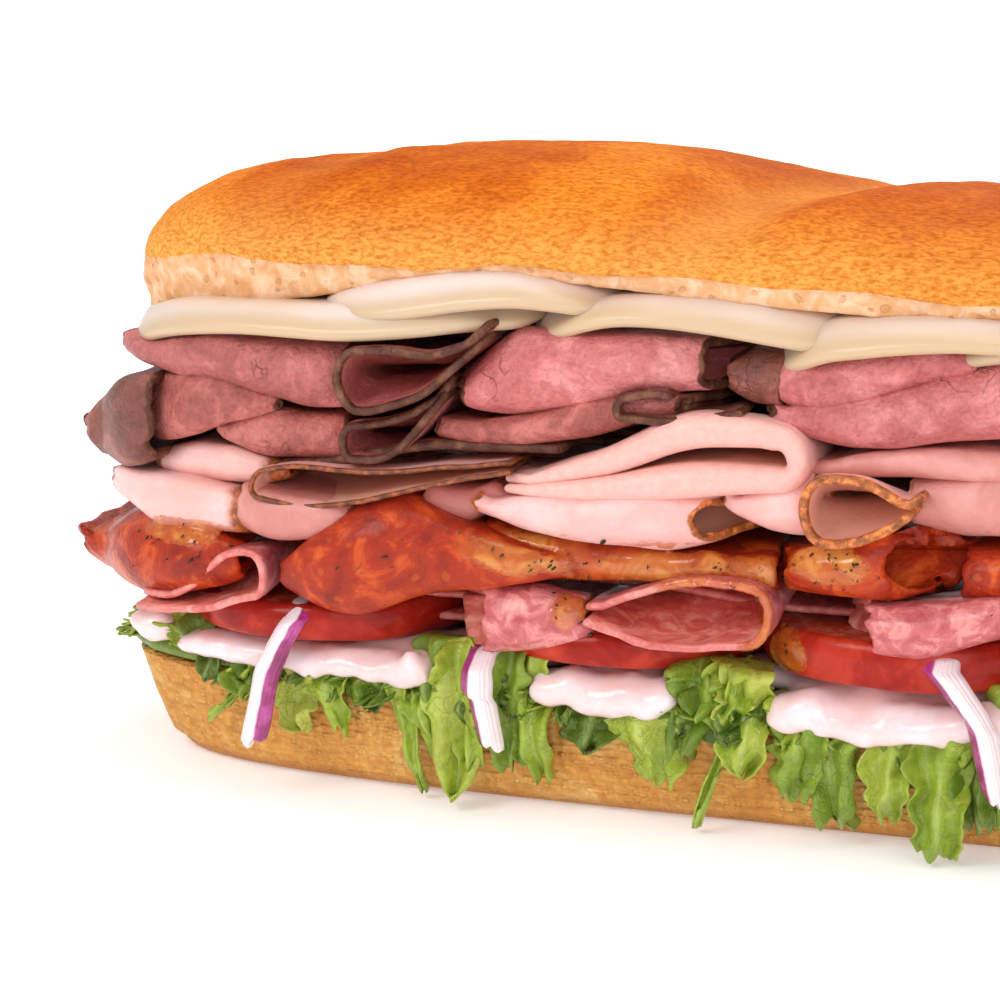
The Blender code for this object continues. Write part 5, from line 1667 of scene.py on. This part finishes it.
def build_onion(number, start, lean, lowest, skin_side, bow, highest):
    name = f"onion_{number}"
    rows, columns = 44, 13
    v = np.linspace(0.0, 1.0, rows)
    top = 0.001 * highest
    path_y = [-0.030, -0.0440, -0.0486, -0.0494, -0.0490, -0.0482]
    path_z = [top, top - 0.0002, top - 0.0030, top - 0.0075, 0.5 * (top + 0.001 * lowest), 0.001 * lowest]
    place = np.linspace(0.0, 1.0, 6)
    y, z = soft_line(place, path_y, v, 0.07), soft_line(place, path_z, v, 0.05)
    down = np.clip((v - 0.35) / 0.65, 0.0, 1.0)
    x = 0.001 * (start + lean * down + bow * np.sin(math.pi * down))
    width = 0.0056 * (1.0 - 0.14 * down) * (1.0 - 0.10 * np.sin(3.0 * v + number))
    u = np.linspace(-0.5, 0.5, columns)
    sheet = np.empty((rows, columns, 3))
    ragged = 1.0 + 0.10 * lumps(np.stack([v * 0.05, v * 0.0 + number, v * 0.0], -1), 0.006, 4)
    sheet[..., 0] = x[:, None] + (width * ragged)[:, None] * u[None, :]
    sheet[..., 1] = y[:, None] + 0.0022 * (2.0 * u[None, :]) ** 2
    sheet[..., 2] = z[:, None] + (0.0016 * u[None, :] * skin_side + 0.0005 * np.sin(11.0 * u)[None, :]) * down[:, None]
    points, faces, marks = sheet_parts(sheet[:, ::-1], 0.0021, 4)
    span = np.broadcast_to(0.5 + skin_side * u[None, :], (rows, columns))[:, ::-1]
    border = [span[i, j] for i, j in border_of(rows, columns)]
    marks["across"] = np.concatenate([span.ravel(), span.ravel(), np.tile(border, 4)])
    strip = mesh_object(name + "_strip", points, faces, marks)
    strip.data.materials.append(ONION_LOOK)
    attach(strip, "root")
    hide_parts(name)


for number, values in enumerate(ONION_STRIPS, 1):
    build_onion(number, *values)
print("onion strips:", len(ONION_STRIPS))

# %% [markdown]
# ## Sauce and herbs
# The orange sauce is thin and clings to whatever it runs over. Rays are sent in from the front to find that
# surface, the sauce is laid on it as a film with a rounded border, and small herb flecks sit in it.

# %% Finding the surface from the front
from mathutils.bvhtree import BVHTree
from mathutils.kdtree import KDTree


def front_surface(names):
    """A tree of everything that the sauce can lie on."""
    points, faces, start = [], [], 0
    for obj in scene.objects:
        if obj.type == "MESH" and obj.name not in frame["nodes"] and obj.name.startswith(tuple(names)):
            points += [vertex.co.copy() for vertex in obj.data.vertices]
            faces += [[v + start for v in polygon.vertices] for polygon in obj.data.polygons]
            start = len(points)
    return BVHTree.FromPolygons(points, faces)


def make_sauce():
    made, tree, shader, place = new_material("sauce", 0.14, Specular_IOR_Level=0.5, Coat_Weight=0.7,
                                             Coat_Roughness=0.06)
    tone = use_group(tree, MOTTLE, Vector=place, Scale=120.0, Stretch=0.8, Dark=(0.56, 0.095, 0.012),
                     Middle=(0.78, 0.220, 0.030), Light=(0.90, 0.420, 0.085))
    specks = use_group(tree, FLECKS, Vector=place, Scale=520.0, Size=0.22, Amount=0.25)
    colour = blend_colour(tree, math_node(tree, "MULTIPLY", specks["Mask"], 0.6), tone["Colour"], (0.30, 0.06, 0.01))
    tree.links.new(colour, shader.inputs["Base Color"])
    clear = ramp(tree, tone["Value"], [(0.25, 0.50), (0.75, 0.80)])
    feather = add_node(tree, "MapRange", {"interpolation_type": "SMOOTHSTEP"}, Value=attribute(tree, "amount"),
                       From_Min=0.10, From_Max=0.72)
    tree.links.new(math_node(tree, "MULTIPLY", clear, feather.outputs[0]), shader.inputs["Alpha"])
    fine = use_group(tree, RELIEF, Vector=place, Fine=800.0, Coarse=230.0, Share=0.7)
    add_bump(tree, shader, fine["Height"], 0.0005, 0.5)
    return made


# %% The film
SAUCE_POOLS = (
    # middle along the roll, its height, half length, half height, all in millimetres
    (-48.0, 51.0, 15.0, 4.8),
    (-24.0, 50.4, 22.0, 4.6),
    (-10.0, 49.5, 8.0, 6.0),
    (-6.5, 42.0, 4.6, 10.0),
    (-5.0, 34.5, 5.0, 4.5),
    (-42.0, 43.0, 4.5, 7.0),
    (4.0, 52.5, 8.0, 3.6),
    (-118.0, 50.0, 11.0, 2.8),
    (68.0, 51.0, 14.0, 3.6),
    (96.0, 48.0, 6.0, 5.0),
)


def build_sauce(surface):
    """Drops so small and so close that their skin is a film over whatever lies under them."""
    chance = np.random.default_rng(11)
    drops, amounts, step, size = [], [], 0.00070, 0.0010
    for x, z, half_x, half_z in SAUCE_POOLS:
        across, up = np.arange(-1.3 * half_x, 1.3 * half_x, 1000 * step), np.arange(-1.3 * half_z, 1.3 * half_z,
                                                                                 1000 * step)
        gx, gz = (grid.ravel() for grid in np.meshgrid(across, up))
        flat = 0.001 * np.stack([gx + x, 0.0 * gx, gz + z], -1)
        amount = 1.1 - (gx / half_x) ** 2 - (gz / half_z) ** 2 + 0.40 * lumps(flat, 0.0065, 3)
        for place, share in zip(flat[amount > 0.1], amount[amount > 0.1]):
            start = Vector((place[0] + 0.0002 * chance.normal(), -0.075, place[2] + 0.0002 * chance.normal() + 0.004))
            hit = surface.ray_cast(start, Vector((0.0, 1.0, -0.12)), 0.05)
            if hit[0] is None or hit[0].y > -0.034:
                continue
            normal = hit[1] if hit[1].y < 0.0 else -hit[1]
            if normal.y > -0.2:
                continue
            film = 0.0002 + 0.00028 * min(1.0, float(share))
            drops.append((hit[0] + normal * (film - size), (size, size, size)))
            amounts.append(float(share))
    sauce = blob_mesh("sauce_film", drops, 0.00046, 5, 1)
    near = KDTree(len(drops))
    for number, (centre, _) in enumerate(drops):
        near.insert(centre, number)
    near.balance()
    thick = [amounts[near.find(vertex.co)[1]] for vertex in sauce.data.vertices]
    sauce.data.attributes.new("amount", "FLOAT", "POINT").data.foreach_set("value", thick)
    sauce.data.materials.clear()
    sauce.data.materials.append(make_sauce())
    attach(sauce, "root")
    print("sauce drops:", len(drops), "faces:", len(sauce.data.polygons))
    return sauce


SURFACE = front_surface(["salami_", "pepperoni_", "tomato_", "mayonnaise_spread", "turkey_"])
build_sauce(SURFACE)

# %% Herb flecks
def make_herbs():
    made, tree, shader, place = new_material("herbs", 0.55)
    tone = use_group(tree, MOTTLE, Vector=place, Scale=140.0, Dark=(0.012, 0.010, 0.006),
                     Middle=(0.030, 0.035, 0.010), Light=(0.085, 0.100, 0.022))
    tree.links.new(tone["Colour"], shader.inputs["Base Color"])
    fine = use_group(tree, RELIEF, Vector=place, Fine=2400.0, Coarse=900.0, Share=0.5)
    add_bump(tree, shader, fine["Height"], 0.0002, 0.6)
    return made


def build_herbs(surface):
    chance = np.random.default_rng(5)
    parts = []
    spots = SAUCE_POOLS + ((-76.0, 50.0, 14.0, 5.0), (-122.0, 47.0, 11.0, 5.0), (18.0, 50.0, 16.0, 4.0))
    for _ in range(150):
        x, z, half_x, half_z = spots[int(chance.integers(len(spots)))]
        place = Vector((0.001 * (x + half_x * chance.uniform(-1, 1)), -0.075,
                        0.001 * (z + half_z * chance.uniform(-1, 1)) + 0.004))
        hit = surface.ray_cast(place, Vector((0.0, 1.0, -0.12)), 0.05)
        if hit[0] is None or hit[0].y > -0.038:
            continue
        size = 0.001 * chance.uniform(0.20, 0.50)
        ring = []
        sides = 6
        axis = Vector(chance.normal(size=3)).normalized()
        side = axis.orthogonal().normalized()
        other = axis.cross(side)
        for k in range(sides):
            turn = 2.0 * math.pi * k / sides
            reach = size * chance.uniform(0.6, 1.2)
            ring.append(side * (math.cos(turn) * reach * 1.5) + other * (math.sin(turn) * reach * 0.8))
        centre = hit[0] + Vector((0.0, -0.0007, 0.0))
        points = [centre + p for p in ring] + [centre + axis * size * 0.4, centre - axis * size * 0.4]
        faces = [(k, (k + 1) % sides, sides) for k in range(sides)]
        faces += [((k + 1) % sides, k, sides + 1) for k in range(sides)]
        parts.append((np.array([tuple(p) for p in points]), faces, {"kind": np.zeros(len(points))}))
    herbs = mesh_object("herb_flecks", *join_parts(parts))
    herbs.data.materials.append(make_herbs())
    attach(herbs, "root")
    print("herb flecks:", len(parts))


build_herbs(SURFACE)

# %% The stage
floor_mesh = bpy.data.meshes.new("floor")
floor_mesh.from_pydata([(-40, -20, 0), (40, -20, 0), (40, 60, 0), (-40, 60, 0)], [], [(0, 1, 2, 3)])
floor = bpy.data.objects.new("floor", floor_mesh)
scene.collection.objects.link(floor)
floor_look, floor_tree, floor_shader, _ = new_material("floor_white", 0.6)
floor_shader.inputs["Base Color"].default_value = (0.93, 0.93, 0.93, 1.0)
floor_shader.inputs["Emission Color"].default_value = (1.0, 1.0, 1.0, 1.0)
# the far floor is past the reach of the lamps, so it shines a little to stay as white as the near one
distance = add_node(floor_tree, "VectorMath", {"operation": "LENGTH"})
floor_tree.links.new(add_node(floor_tree, "NewGeometry").outputs["Position"], distance.inputs[0])
fade = add_node(floor_tree, "MapRange", Value=distance.outputs["Value"], From_Min=0.3, From_Max=2.5, To_Min=0.3,
                To_Max=1.0)
floor_tree.links.new(fade.outputs[0], floor_shader.inputs["Emission Strength"])
floor_mesh.materials.append(floor_look)
